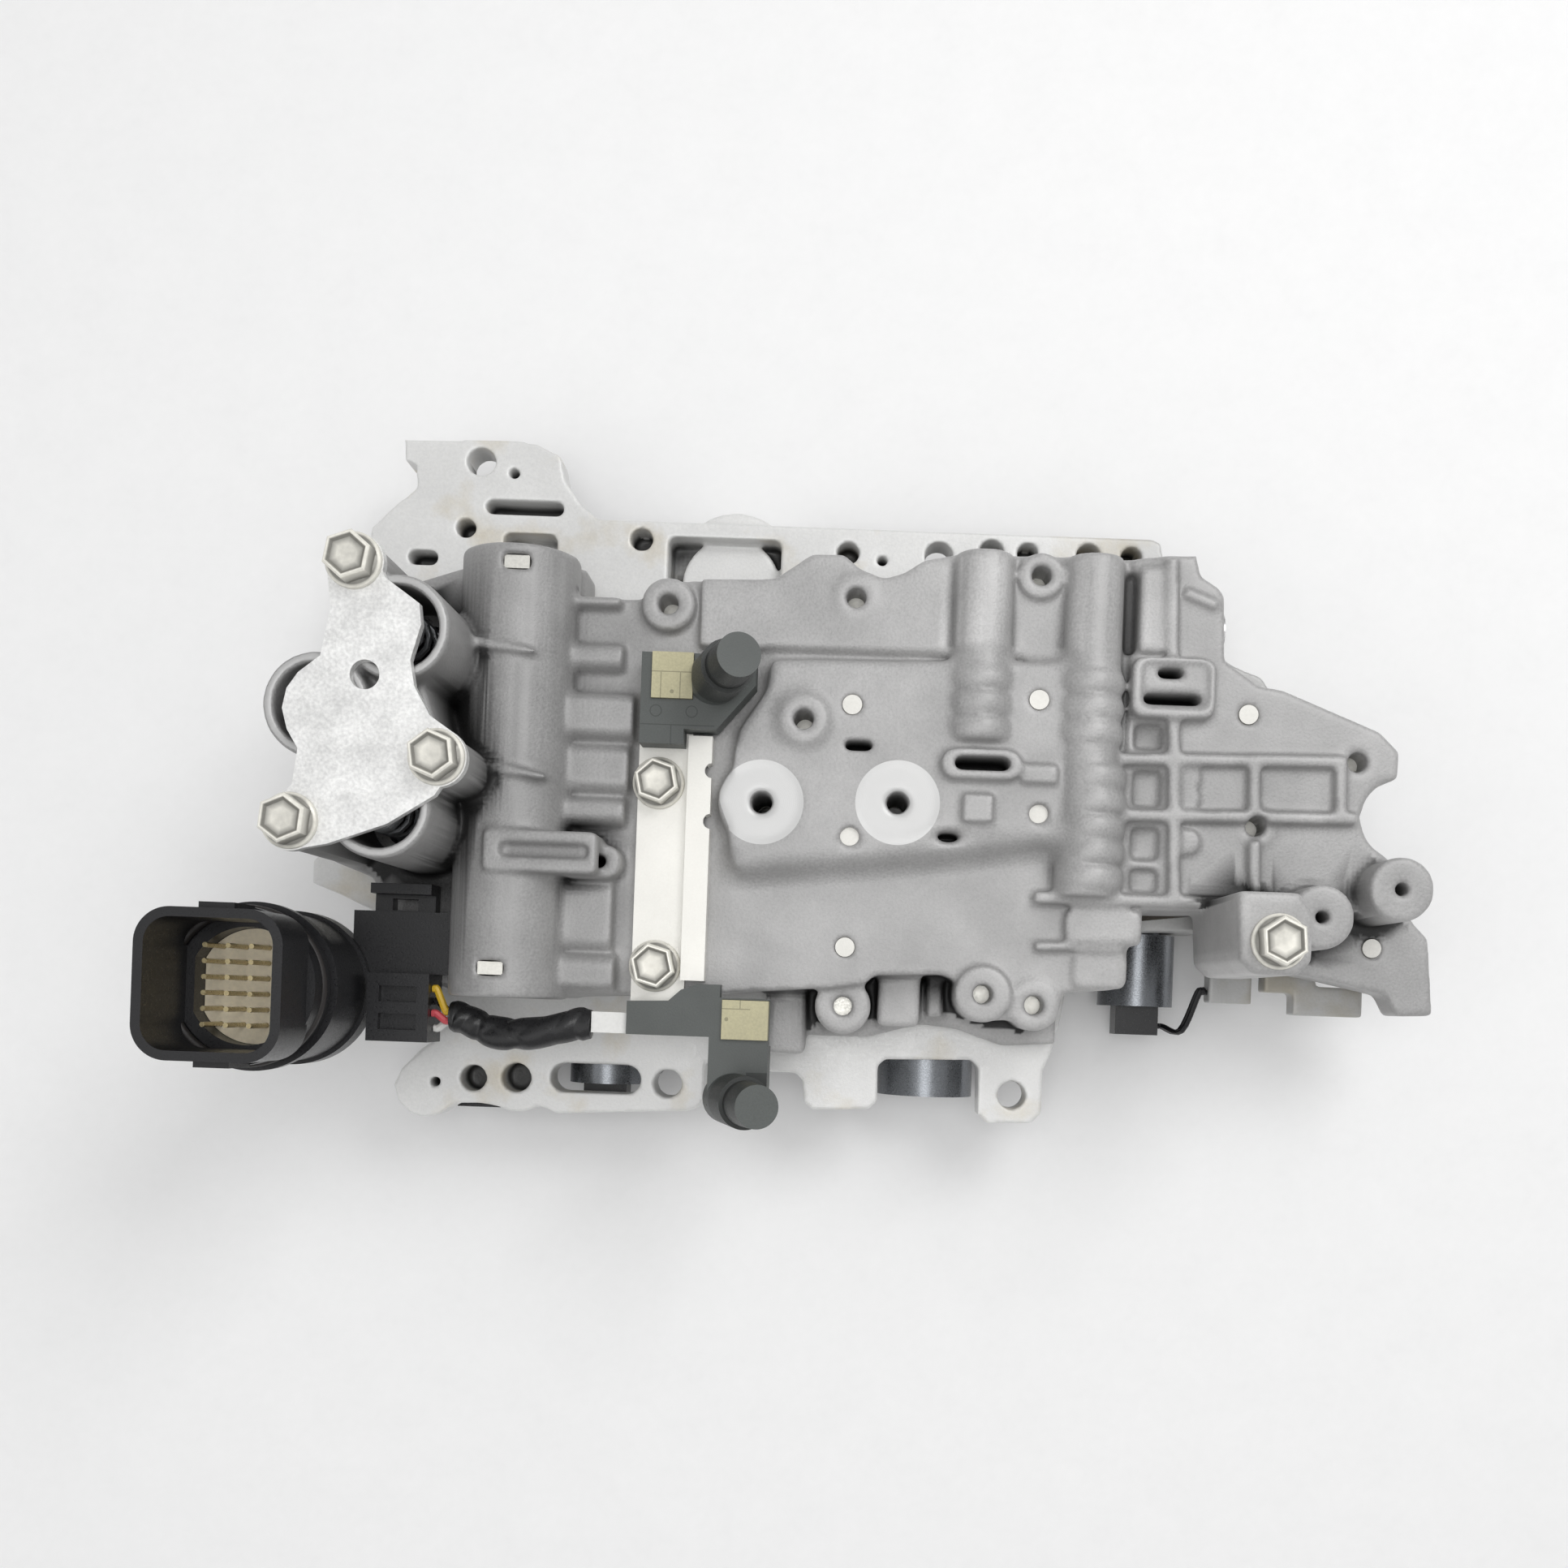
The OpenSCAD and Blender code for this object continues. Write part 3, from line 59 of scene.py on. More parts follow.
def skin(node, voxel, rounds, budget, bosses=(), soft=()):
    """A cast skin over a CAD node: the node's solid, joined with round bosses (x, y, bore, radius, foot,
    top), is sampled on a voxel grid. Every point then moves halfway towards the mean of its neighbours for
    a number of rounds, which rounds all edges and corners as a mould does, and goes on for longer near the
    soft lines (x, y, x, y, reach, rounds). Two attributes carry painted light and shade for the material: the
    first is how far a point stands out of the mean of its neighbours, for a painted highlight on rims and
    painted shade in creases, and the second how deep it lies under the casting around it, for painted shade in
    hollows."""
    source = nodes[node].data.copy()
    shape = bmesh.new()
    shape.from_mesh(source)
    bmesh.ops.remove_doubles(shape, verts=shape.verts, dist=1e-6)
    turn = 2 * np.pi * np.arange(ROUND) / ROUND
    for x, y, bore, radius, foot, top in bosses:
        loops = [[shape.verts.new((x + r * math.cos(a), y + r * math.sin(a), z)) for a in turn]
                 for r, z in ((bore, foot), (radius, foot), (radius, top), (bore, top))]
        for row in range(4):
            inner, outer = loops[row], loops[(row + 1) % 4]
            for k in range(ROUND):
                shape.faces.new((inner[k], outer[k], outer[(k + 1) % ROUND], inner[(k + 1) % ROUND]))
    bmesh.ops.recalc_face_normals(shape, faces=shape.faces)
    shape.to_mesh(source)
    shape.free()
    piece = bpy.data.objects.new(node + "_skin", source)
    bpy.context.collection.objects.link(piece)

    def remade(modifier, **settings):
        """Replaces the piece's mesh by its shape after one modifier."""
        step = piece.modifiers.new("step", modifier)
        for key, value in settings.items():
            setattr(step, key, value)
        mesh = bpy.data.meshes.new_from_object(piece.evaluated_get(bpy.context.evaluated_depsgraph_get()))
        piece.modifiers.clear()
        piece.data = mesh

    def arrays():
        """Points and edges of the piece as arrays."""
        mesh = piece.data
        points = np.empty(len(mesh.vertices) * 3, np.float32)
        mesh.vertices.foreach_get("co", points)
        edges = np.empty(len(mesh.edges) * 2, np.int32)
        mesh.edges.foreach_get("vertices", edges)
        return points.reshape(-1, 3).astype(float), edges.reshape(-1, 2)

    def neighbour_mean(values, edges):
        """Mean of each point's neighbours along the edges."""
        count = len(values)
        degree = np.maximum(np.bincount(edges.ravel(), minlength=count), 1)
        both = np.concatenate([edges, edges[:, ::-1]])
        sums = [np.bincount(both[:, 0], weights=values[both[:, 1], k], minlength=count)
                for k in range(values.shape[1])]
        return np.stack(sums, 1) / degree[:, None]

    def spread(field, reach):
        """Sum of a plan grid over a square around each cell, from running sums along both axes."""
        for axis in (0, 1):
            pad = [(reach + 1, reach) if k == axis else (0, 0) for k in (0, 1)]
            total = np.cumsum(np.pad(field, pad), axis=axis)
            size = field.shape[axis]
            field = (np.take(total, np.arange(size) + 2 * reach + 1, axis=axis)
                     - np.take(total, np.arange(size), axis=axis))
        return field

    remade("REMESH", mode="VOXEL", voxel_size=voxel)
    points, edges = arrays()
    for _ in range(rounds):
        points += 0.5 * (neighbour_mean(points, edges) - points)
    weights = []
    for x0, y0, x1, y1, reach, more in soft:
        along = np.array([x1 - x0, y1 - y0])
        off = points[:, :2] - (x0, y0)
        share = np.clip(off @ along / (along @ along), 0, 1)
        away = np.linalg.norm(off - share[:, None] * along, axis=1)
        weights.append((more, np.clip(SOFT_SLOPE * (1 - away / reach), 0, 1)))
    for step in range(max([more for more, _ in weights], default=0)):
        pull = np.max([weight for more, weight in weights if more > step], axis=0)
        points += 0.5 * pull[:, None] * (neighbour_mean(points, edges) - points)
    piece.data.vertices.foreach_set("co", points.astype(np.float32).ravel())
    piece.data.update()

    cell = 2 * voxel
    low = points[:, :2].min(0) - cell
    place = ((points[:, :2] - low) / cell).astype(int)
    top = np.full(place.max(0) + 2, -1.0)
    np.maximum.at(top, (place[:, 0], place[:, 1]), points[:, 2])
    filled = (top >= 0).astype(float)
    around = np.maximum(spread(filled, HOLLOW_REACH), 1)
    level = spread(top * filled, HOLLOW_REACH) / around
    level[around < HOLLOW_COVER * (2 * HOLLOW_REACH + 1) ** 2] = 0

    triangles = sum(len(p.vertices) - 2 for p in piece.data.polygons)
    remade("DECIMATE", ratio=min(1.0, budget / triangles))
    points, edges = arrays()
    normals = np.empty(len(points) * 3, np.float32)
    piece.data.vertices.foreach_get("normal", normals)
    # Painted light and shade: a point that stands out of its neighbours gets a painted highlight, one sunk in a
    # crease painted shade.
    stand = ((points - neighbour_mean(points, edges)) * normals.reshape(-1, 3)).sum(1)
    stand = np.clip(stand[:, None] / voxel, -1, 1)
    for _ in range(2):
        stand = 0.5 * (stand + neighbour_mean(stand, edges))
    # Painted shade in hollows: the deeper a point lies under the casting around it, the darker it is painted.
    place = np.clip(((points[:, :2] - low) / cell).astype(int), 0, np.array(level.shape) - 1)
    under = level[place[:, 0], place[:, 1]] - points[:, 2]
    painted_hollow_shade = np.clip((under - HOLLOW_START) / HOLLOW_DEPTH, 0, 1)
    for name, values in (("edge", stand[:, 0]), ("painted_hollow_shade", painted_hollow_shade)):
        piece.data.attributes.new(name, "FLOAT", "POINT").data.foreach_set("value", values.astype(np.float32))
    piece.data.shade_smooth()
    piece.data.materials.clear()
    return piece


def maths(tree, operation, a, b=0.0):
    """One step of shader arithmetic on two sockets or numbers."""
    node = tree.nodes.new("ShaderNodeMath")
    node.operation = operation
    for socket, value in zip(node.inputs, (a, b)):
        if isinstance(value, float):
            socket.default_value = value
        else:
            tree.links.new(value, socket)
    return node.outputs[0]


def ranged(tree, source, low, high, start=0.3, end=0.7):
    """A value carried from the range start..end to the range low..high."""
    node = tree.nodes.new("ShaderNodeMapRange")
    for key, value in (("From Min", start), ("From Max", end), ("To Min", low), ("To Max", high)):
        node.inputs[key].default_value = value
    tree.links.new(source, node.inputs["Value"])
    return node.outputs["Result"]


def place_axes(tree):
    """The X, Y and Z outputs of a point's place on the piece."""
    split = tree.nodes.new("ShaderNodeSeparateXYZ")
    tree.links.new(tree.nodes.new("ShaderNodeTexCoord").outputs["Object"], split.inputs[0])
    return [split.outputs[axis] for axis in "XYZ"]


def distance(tree, x, y, middle_x, middle_y):
    """Distance in plan from a middle: the root of the sum of both squares."""
    dx = maths(tree, "SUBTRACT", x, float(middle_x))
    dy = maths(tree, "SUBTRACT", y, float(middle_y))
    squares = maths(tree, "ADD", maths(tree, "MULTIPLY", dx, dx), maths(tree, "MULTIPLY", dy, dy))
    return maths(tree, "SQRT", squares)


def within(tree, value, middle, half):
    """One where a value lies within half a width of a middle, and nought elsewhere."""
    off = maths(tree, "ABSOLUTE", maths(tree, "SUBTRACT", value, float(middle)))
    return maths(tree, "LESS_THAN", off, float(half))


ROUGH_SPREAD = 0.08
EDGE_SPAN = 0.25
STAIN_SCALE = 55
STAIN_DETAIL = 5
STAIN_RANGE = (0.55, 0.72)


def finish(name, colour, metal, rough, grain=900, depth=0.00006, tone=0.12, patch=70, edge=0.0, painted_hollow_shade=0.0,
           drift=(), stain=None):
    """A material from its colour: broad patches and fine grain shift the tone, the grain lifts the surface
    as bump and spreads the roughness. Where asked, rims get a painted highlight and creases painted shade,
    hollows get painted shade, the tone drifts from one factor to another between two places on X, and faint stains
    tint the colour."""
    material = bpy.data.materials.new(name)
    material.use_nodes = True
    tree = material.node_tree
    shader = tree.nodes["Principled BSDF"]
    shader.inputs["Metallic"].default_value = metal
    place = tree.nodes.new("ShaderNodeTexCoord").outputs["Object"]

    def noise(scale, detail):
        node = tree.nodes.new("ShaderNodeTexNoise")
        node.inputs["Scale"].default_value = scale
        node.inputs["Detail"].default_value = detail
        tree.links.new(place, node.inputs["Vector"])
        return node.outputs["Fac"]

    def vector(operation, a, b):
        node = tree.nodes.new("ShaderNodeVectorMath")
        node.operation = operation
        sockets = (node.inputs[0], node.inputs["Scale"] if operation == "SCALE" else node.inputs[1])
        for socket, value in zip(sockets, (a, b)):
            if isinstance(value, tuple):
                socket.default_value = value
            else:
                tree.links.new(value, socket)
        return node.outputs["Vector"]

    fleck = noise(grain, 3)
    factor = maths(tree, "MULTIPLY", ranged(tree, noise(patch, 4), 1 - tone, 1 + tone),
                   ranged(tree, fleck, 1 - tone, 1 + tone))
    # Painted highlight on rims and painted shade in creases, from how far a point stands out of its neighbours.
    if edge:
        stand = tree.nodes.new("ShaderNodeAttribute")
        stand.attribute_name = "edge"
        rim = ranged(tree, stand.outputs["Fac"], 1 - edge, 1 + edge, -EDGE_SPAN, EDGE_SPAN)
        factor = maths(tree, "MULTIPLY", factor, rim)
    # Painted shade in hollows, from how deep a point lies under the casting around it.
    if painted_hollow_shade:
        deep = tree.nodes.new("ShaderNodeAttribute")
        deep.attribute_name = "painted_hollow_shade"
        factor = maths(tree, "MULTIPLY", factor, ranged(tree, deep.outputs["Fac"], 1.0, 1 - painted_hollow_shade, 0.0, 1.0))
    for change in drift:
        split = tree.nodes.new("ShaderNodeSeparateXYZ")
        tree.links.new(place, split.inputs[0])
        factor = maths(tree, "MULTIPLY", factor, ranged(tree, split.outputs["X"], *change))
    paint = vector("SCALE", colour, factor)
    if stain:
        spots = ranged(tree, noise(STAIN_SCALE, STAIN_DETAIL), 0.0, 1.0, *STAIN_RANGE)
        change = vector("SCALE", tuple(c - 1 for c in stain), spots)
        paint = vector("MULTIPLY", paint, vector("ADD", change, (1.0, 1.0, 1.0)))
    tree.links.new(paint, shader.inputs["Base Color"])
    gloss = ranged(tree, fleck, rough - ROUGH_SPREAD, rough + ROUGH_SPREAD)
    tree.links.new(gloss, shader.inputs["Roughness"])
    bump = tree.nodes.new("ShaderNodeBump")
    bump.inputs["Strength"].default_value = 1.0
    bump.inputs["Distance"].default_value = depth
    tree.links.new(fleck, bump.inputs["Height"])
    tree.links.new(bump.outputs["Normal"], shader.inputs["Normal"])
    return material


def dress(node, material):
    """Puts a material on a CAD node."""
    nodes[node].data.materials.clear()
    nodes[node].data.materials.append(material)


lower = skin("lower_valve_body", 0.0006, 3, 190000)
# The casting's rims get a painted highlight, and its creases and hollows painted shade.
lower.data.materials.append(finish("bare_die_casting", (0.73, 0.73, 0.72), 0.15, 0.42, grain=1500, tone=0.04,
                                   edge=0.2, painted_hollow_shade=0.93, drift=[(1.0, 0.62, 0.055, 0.1)],
                                   stain=(0.86, 0.8, 0.68)))
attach(lower, "housing")
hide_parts("lower_valve_body")

# Joint between the castings
# A steel separator plate between two gaskets, held by long bolts from below and lined up by dowels.
# Loose steel balls sit in the passages as check valves.
gasket_board = finish("gasket_board", (0.085, 0.075, 0.06), 0.0, 0.8, grain=2500, depth=0.0001, tone=0.2)
ground_steel = finish("ground_steel", (0.6, 0.6, 0.6), 0.9, 0.25, grain=3000, depth=0.00001, tone=0.06)
zinc = finish("zinc_plating", (0.74, 0.73, 0.68), 0.6, 0.4, grain=1600, depth=0.000003, tone=0.05, patch=400)
for node in ("upper_gasket", "lower_gasket"):
    dress(node, gasket_board)
for node in ("separator_plate", "check_balls"):
    dress(node, ground_steel)
dress("dowel_pins", finish("dowel_end", (0.72, 0.71, 0.67), 0.25, 0.45, grain=1200, depth=0.000004,
                           tone=0.06))
dress("body_bolts", zinc)

# Upper casting
# Grey aluminium cast in sand-textured dies: the valve tube, the ridges and the accumulator barrels are
# one piece. Two round seats on the raised pad are turned bright for the oil seals, as are the barrels' rims.
SEATS = [(-0.0188, -0.0077), (0.0153, -0.0066)]
SEAT_RADIUS = 0.0106
SEAT_PORT = 0.00275
SEAT_TOP = 0.06388
SEAT_LIP = 0.0004  # the raised seat's margin, and the depth of the turned band under its top
SEAT_RINGS = 18000.0  # radians per metre, a ring each 0.35 mm
PAD_FOOT = 0.0555
BARREL_TOP = 0.0949
BARREL_X = -0.085
PAD_EDGES = [(-0.026, -0.0248, 0.056, -0.0145, 0.0062, 90), (-0.0178, 0.0286, 0.056, 0.0303, 0.0042, 36),
             (-0.0253, 0.0103, -0.0178, 0.0286, 0.0042, 36), (-0.0276, -0.0102, -0.026, -0.0248, 0.003, 20)]
upper = skin("upper_valve_body", 0.0006, 10, 195000,
             bosses=[(*SEATS[0], SEAT_PORT, SEAT_RADIUS + SEAT_LIP, PAD_FOOT, SEAT_TOP)], soft=PAD_EDGES)
# The casting's rims get a painted highlight, and its creases and hollows painted shade.
grey_casting = finish("grey_casting", (0.345, 0.342, 0.34), 0.25, 0.5, grain=1500, depth=0.0001, tone=0.1,
                      edge=0.35, painted_hollow_shade=0.93, drift=[(1.0, 1.2, -0.055, -0.035), (1.0, 0.95, 0.05, 0.1)])


def turned_seats(material):
    """Turned faces on a casting: within the seats' radius in plan, above their height, a brighter and
    smoother metal takes over, with fine rings whose height is the sine of the distance from the centre. On
    the rims of the barrels it is mixed half and half with the cast surface."""
    tree = material.node_tree
    cast = tree.nodes["Principled BSDF"]
    turned = tree.nodes.new("ShaderNodeBsdfPrincipled")
    turned.inputs["Base Color"].default_value = (0.62, 0.62, 0.615, 1)
    turned.inputs["Metallic"].default_value = 0.2
    turned.inputs["Roughness"].default_value = 0.38
    x, y, z = place_axes(tree)
    reach = maths(tree, "MINIMUM", *(distance(tree, x, y, *seat) for seat in SEATS))
    seat = maths(tree, "MULTIPLY", maths(tree, "LESS_THAN", reach, SEAT_RADIUS),
                 maths(tree, "GREATER_THAN", z, SEAT_TOP - SEAT_LIP))
    rim = maths(tree, "MULTIPLY", maths(tree, "GREATER_THAN", z, BARREL_TOP),
                maths(tree, "LESS_THAN", x, BARREL_X))
    bump = tree.nodes.new("ShaderNodeBump")
    bump.inputs["Distance"].default_value = 0.000003
    tree.links.new(maths(tree, "SINE", maths(tree, "MULTIPLY", reach, SEAT_RINGS)), bump.inputs["Height"])
    tree.links.new(bump.outputs["Normal"], turned.inputs["Normal"])
    mix = tree.nodes.new("ShaderNodeMixShader")
    tree.links.new(maths(tree, "MAXIMUM", seat, maths(tree, "MULTIPLY", rim, 0.5)), mix.inputs[0])
    tree.links.new(cast.outputs[0], mix.inputs[1])
    tree.links.new(turned.outputs[0], mix.inputs[2])
    tree.links.new(mix.outputs[0], tree.nodes["Material Output"].inputs["Surface"])


turned_seats(grey_casting)
upper.data.materials.append(grey_casting)
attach(upper, "housing")
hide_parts("upper_valve_body")

# Valve trains
# Ground steel spools with turned aluminium plugs, wire springs and flat plated keys.
# The manual valve's grooved end is moved by the selector.
spring_wire = finish("spring_wire", (0.3, 0.31, 0.32), 0.85, 0.35, grain=2500, depth=0.00002)
turned_aluminium = finish("turned_aluminium", (0.45, 0.45, 0.45), 0.8, 0.35, grain=2500, depth=0.00002)
for node in ("regulator_spool", "lockup_spool", "shift_spool", "manual_valve"):
    dress(node, ground_steel)
for node in ("regulator_spring", "lockup_spring", "shift_spring"):
    dress(node, spring_wire)
for node in ("regulator_plugs", "lockup_plug", "shift_plug"):
    dress(node, turned_aluminium)
dress("regulator_keys", zinc)

# Accumulators
# Three sprung pistons in the cast barrels under one pressed steel cover.
# The cover is held by plated flange bolts with dished hexagon heads.
for number in "123":
    dress("accumulator_piston_" + number, turned_aluminium)
    dress("accumulator_spring_" + number, spring_wire)
pressed_cover = finish("pressed_cover", (0.84, 0.84, 0.83), 0.45, 0.45, grain=1300, depth=0.00004, tone=0.12,
                       patch=120)
dress("accumulator_cover", pressed_cover)
HEAD_HEIGHT = 6.4
SHANK_RADIUS = 2.5
CREASE_ANGLE = math.radians(24)
# Each ring's last number is painted shading: painted shade below nought, in grooves and creases, and a painted
# highlight above, on the rims.
BOLT_RINGS = [(SHANK_RADIUS, 0, 0, 0), (6.5, 0, 0, 0), (6.5, 0.9, 0, 0.1), (6.25, 1.2, 0, 0.25),
              (5.9, 1.4, 0, 0), (5.62, 1.55, 0, -0.3), (5, 1.75, 1, -0.3), (5, 5.75, 1, 0.05), (4.85, 6.1, 1, 0.25),
              (4.5, 6.4, 1, 0.25), (4.2, 6.4, 1, 0.1), (3.95, 6.15, 1, -0.3), (3.5, 5.7, 1, -0.25),
              (2.2, 5.5, 0.6, 0.05), (1, 5.45, 0, 0.05)]
# The heads take their painted highlight and shade from the rings' last number.
bolt_head = finish("plated_head", (0.64, 0.625, 0.57), 0.4, 0.42, grain=900, depth=0.000004, tone=0.06,
                   patch=300, edge=0.55)


def flange_bolts(node, places):
    """Flange bolts at places (x, y, turn in degrees) in mm, over a CAD node: rings (size, height, share of
    hexagon, painted shading) lead from the shank's end over the flange, up the hexagon and down into the dished
    head, and a fan closes both ends. A ring's radius is its size, divided by the cosine of the angle to the nearest
    flat where it is a hexagon. A point attribute holds the painted shading: painted shade in the creases and a
    painted highlight on the rims."""
    low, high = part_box(node)
    seat = high[2] * 1000 - HEAD_HEIGHT
    rings = [(SHANK_RADIUS, low[2] * 1000 - seat, 0, 0)] + BOLT_RINGS
    turn = 2 * np.pi * np.arange(ROUND) / ROUND
    flat = 1 / np.cos((turn + np.pi / 6) % (np.pi / 3) - np.pi / 6)
    points, faces, edge = [], [], []
    for x, y, degrees in places:
        first = len(points)
        angle = turn + math.radians(degrees)
        for size, height, hexagon, tone in rings:
            radius = size * (1 + hexagon * (flat - 1))
            points += np.stack([x + radius * np.cos(angle), y + radius * np.sin(angle),
                                np.full(ROUND, seat + height)], 1).tolist()
            edge += [tone] * ROUND
        points += [[x, y, seat + rings[0][1]], [x, y, seat + rings[-1][1]]]
        edge += [0, 0]
        last = first + (len(rings) - 1) * ROUND
        for k in range(ROUND):
            j = (k + 1) % ROUND
            for a in range(first, last, ROUND):
                faces.append((a + k, a + j, a + ROUND + j, a + ROUND + k))
            faces.append((first + j, first + k, last + ROUND))
            faces.append((last + k, last + j, last + ROUND + 1))
    mesh = bpy.data.meshes.new(node + "_heads")
    mesh.from_pydata((np.array(points) / 1000).tolist(), [], faces)
    mesh.attributes.new("edge", "FLOAT", "POINT").data.foreach_set("value", np.array(edge, np.float32))
    mesh.update()
    mesh.shade_smooth()
    mesh.set_sharp_from_angle(angle=CREASE_ANGLE)
    mesh.materials.append(bolt_head)
    piece = bpy.data.objects.new(node + "_heads", mesh)
    bpy.context.collection.objects.link(piece)
    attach(piece, "housing")
    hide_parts(node)


flange_bolts("accumulator_cover_bolts", [(-111.6, 39.5, -10), (-91.1, -4.6, 8), (-124.1, -20.3, -6)])

# Sensor bracket
# A folded strip of zinc-plated sheet on two flange bolts.
dress("sensor_bracket", finish("plated_sheet", (0.84, 0.83, 0.785), 0.3, 0.48, grain=1600, depth=0.00001,
                               tone=0.03))
flange_bolts("sensor_bracket_bolts", [(-45, -3.5, 12), (-44.3, -49.6, 14)])

# Speed sensors
# Filled nylon housings with leaning barrels, and beige terminal blocks set into them.
# Mould joints and ejector marks are scribed in the tops, and the barrels' necks carry painted shade, darker still
# in a groove and lifted again at the tips.
nylon = finish("dark_nylon", (0.085, 0.093, 0.089), 0.0, 0.5, grain=2400, depth=0.00004, tone=0.1)
terminal = finish("beige_terminal", (0.5, 0.465, 0.295), 0.0, 0.5, grain=1800, depth=0.00003, tone=0.08)
LINE_WIDTH = 0.14
MARK_HEIGHT = 66
MARK_TONE = 0.6
BARREL_FEET = [(-32.4, 21.9, 63.5), (-24.8, -82.2, 59.5)]
BARREL_LEAN = math.radians(16)
BARREL_HALF = 0.0068
# Painted shade on the barrels: where the neck starts and how dark it is, the groove, and the tip that lifts it.
NECK_START, NECK_SHADE = 0.0075, 0.42
GROOVE_MIDDLE, GROOVE_HALF, GROOVE_SHADE = 0.0222, 0.0012, 0.4
TIP_START, TIP_TONE = 0.0333, 2.6


def recolour(tree, mask, tone):
    """Scales the colour that a material already has by a tone, where a mask is one."""
    factor = ranged(tree, mask, 1.0, tone, 0.0, 1.0)
    socket = tree.nodes["Principled BSDF"].inputs["Base Color"]
    node = tree.nodes.new("ShaderNodeVectorMath")
    node.operation = "SCALE"
    tree.links.new(socket.links[0].from_socket, node.inputs[0])
    tree.links.new(factor, node.inputs["Scale"])
    tree.links.new(node.outputs["Vector"], socket)


def scribe(material, lines=(), rings=(), spots=()):
    """Marks in mm on the tops of the sensors: lines (x, y, x, y) along X or Y, rings (x, y, radius) and
    spots (x, y, radius). Inside a mark the colour is scaled by the marks' tone."""
    tree = material.node_tree
    x, y, z = (maths(tree, "MULTIPLY", axis, 1000.0) for axis in place_axes(tree))
    marks = [maths(tree, "MULTIPLY", within(tree, x, (x0 + x1) / 2, abs(x1 - x0) / 2 + LINE_WIDTH),
                   within(tree, y, (y0 + y1) / 2, abs(y1 - y0) / 2 + LINE_WIDTH))
             for x0, y0, x1, y1 in lines]
    marks += [within(tree, distance(tree, x, y, px, py), radius, LINE_WIDTH) for px, py, radius in rings]
    marks += [maths(tree, "LESS_THAN", distance(tree, x, y, px, py), float(radius))
              for px, py, radius in spots]
    found = marks[0]
    for mark in marks[1:]:
        found = maths(tree, "MAXIMUM", found, mark)
    top = maths(tree, "GREATER_THAN", z, float(MARK_HEIGHT))
    recolour(tree, maths(tree, "MULTIPLY", found, top), MARK_TONE)


def barrel_shade(material):
    """Painted shade along the leaning barrels: the distance along each axis, within the barrel's reach, picks a
    neck darkened as painted shade, a groove in it darkened further and a tip where the shade is lifted again."""
    tree = material.node_tree
    x, y, z = place_axes(tree)
    for px, py, pz in BARREL_FEET:
        dx = maths(tree, "SUBTRACT", x, px / 1000)
        dz = maths(tree, "SUBTRACT", z, pz / 1000)
        along = maths(tree, "ADD", maths(tree, "MULTIPLY", dx, math.sin(BARREL_LEAN)),
                      maths(tree, "MULTIPLY", dz, math.cos(BARREL_LEAN)))
        near = within(tree, y, py / 1000, BARREL_HALF)
        neck = maths(tree, "GREATER_THAN", along, NECK_START)
        groove = within(tree, along, GROOVE_MIDDLE, GROOVE_HALF)
        tip = maths(tree, "GREATER_THAN", along, TIP_START)
        for band, tone in ((neck, NECK_SHADE), (groove, GROOVE_SHADE), (tip, TIP_TONE)):
            recolour(tree, maths(tree, "MULTIPLY", near, band), tone)


barrel_shade(nylon)
scribe(nylon, lines=[(-49.4, 10.1, -31, 10.1), (-41.6, 5.4, -41.6, 10.1)],
       rings=[(-45.5, 13.5, 1.4), (-36.6, 13.5, 1.4)])
scribe(terminal,
       lines=[(-46.7, 23.1, -36.5, 23.1), (-44.4, 16.6, -44.4, 23.1), (-39.6, 16.6, -39.6, 23.1),
              (-26.5, -59.7, -19.6, -59.7), (-22, -59.7, -22, -57.5)],
       spots=[(-41.6, 18.2, 0.5), (-25.3, -62.3, 0.5)])
for node in ("input_speed_sensor", "output_speed_sensor"):
    dress(node, nylon)
for node in ("input_sensor_terminal", "output_sensor_terminal"):
    dress(node, terminal)

# Sensor harness
# Four insulated leads from the plug into a black sleeve, held by a white clip on the lower sensor.
black_plastic = finish("black_moulding", (0.008, 0.008, 0.0095), 0.0, 0.34, grain=2200, depth=0.00003,
                       tone=0.15)
dress("harness_plug", black_plastic)


def tube(name, path, radius, sides):
    """A closed tube along a path of points: at each point a ring of the given radius, itself an array over
    path and ring, lies across the path's direction, and a fan closes each end."""
    along = np.gradient(path, axis=0)
    along /= np.linalg.norm(along, axis=1)[:, None]
    side = np.cross(along, (0, 0, 1))
    side /= np.linalg.norm(side, axis=1)[:, None]
    over = np.cross(side, along)
    turn = 2 * np.pi * np.arange(sides) / sides
    rings = (path[:, None] + radius[..., None] * (np.cos(turn)[None, :, None] * side[:, None]
                                                  + np.sin(turn)[None, :, None] * over[:, None]))
    count = len(path)
    points = np.concatenate([rings.reshape(-1, 3), path[[0, -1]]])
    i, k = np.meshgrid(np.arange(count - 1), np.arange(sides), indexing="ij")
    a, b = i * sides + k, i * sides + (k + 1) % sides
    walls = np.stack([a, b, b + sides, a + sides], -1).reshape(-1, 4).tolist()
    k = np.arange(sides)
    last = (count - 1) * sides
    ends = np.stack([(k + 1) % sides, k, np.full(sides, count * sides)], 1).tolist()
    ends += np.stack([last + k, last + (k + 1) % sides, np.full(sides, count * sides + 1)], 1).tolist()
    mesh = bpy.data.meshes.new(name)
    mesh.from_pydata(points.tolist(), [], walls + ends)
    mesh.update()
    mesh.shade_smooth()
    piece = bpy.data.objects.new(name, mesh)
    bpy.context.collection.objects.link(piece)
    return piece


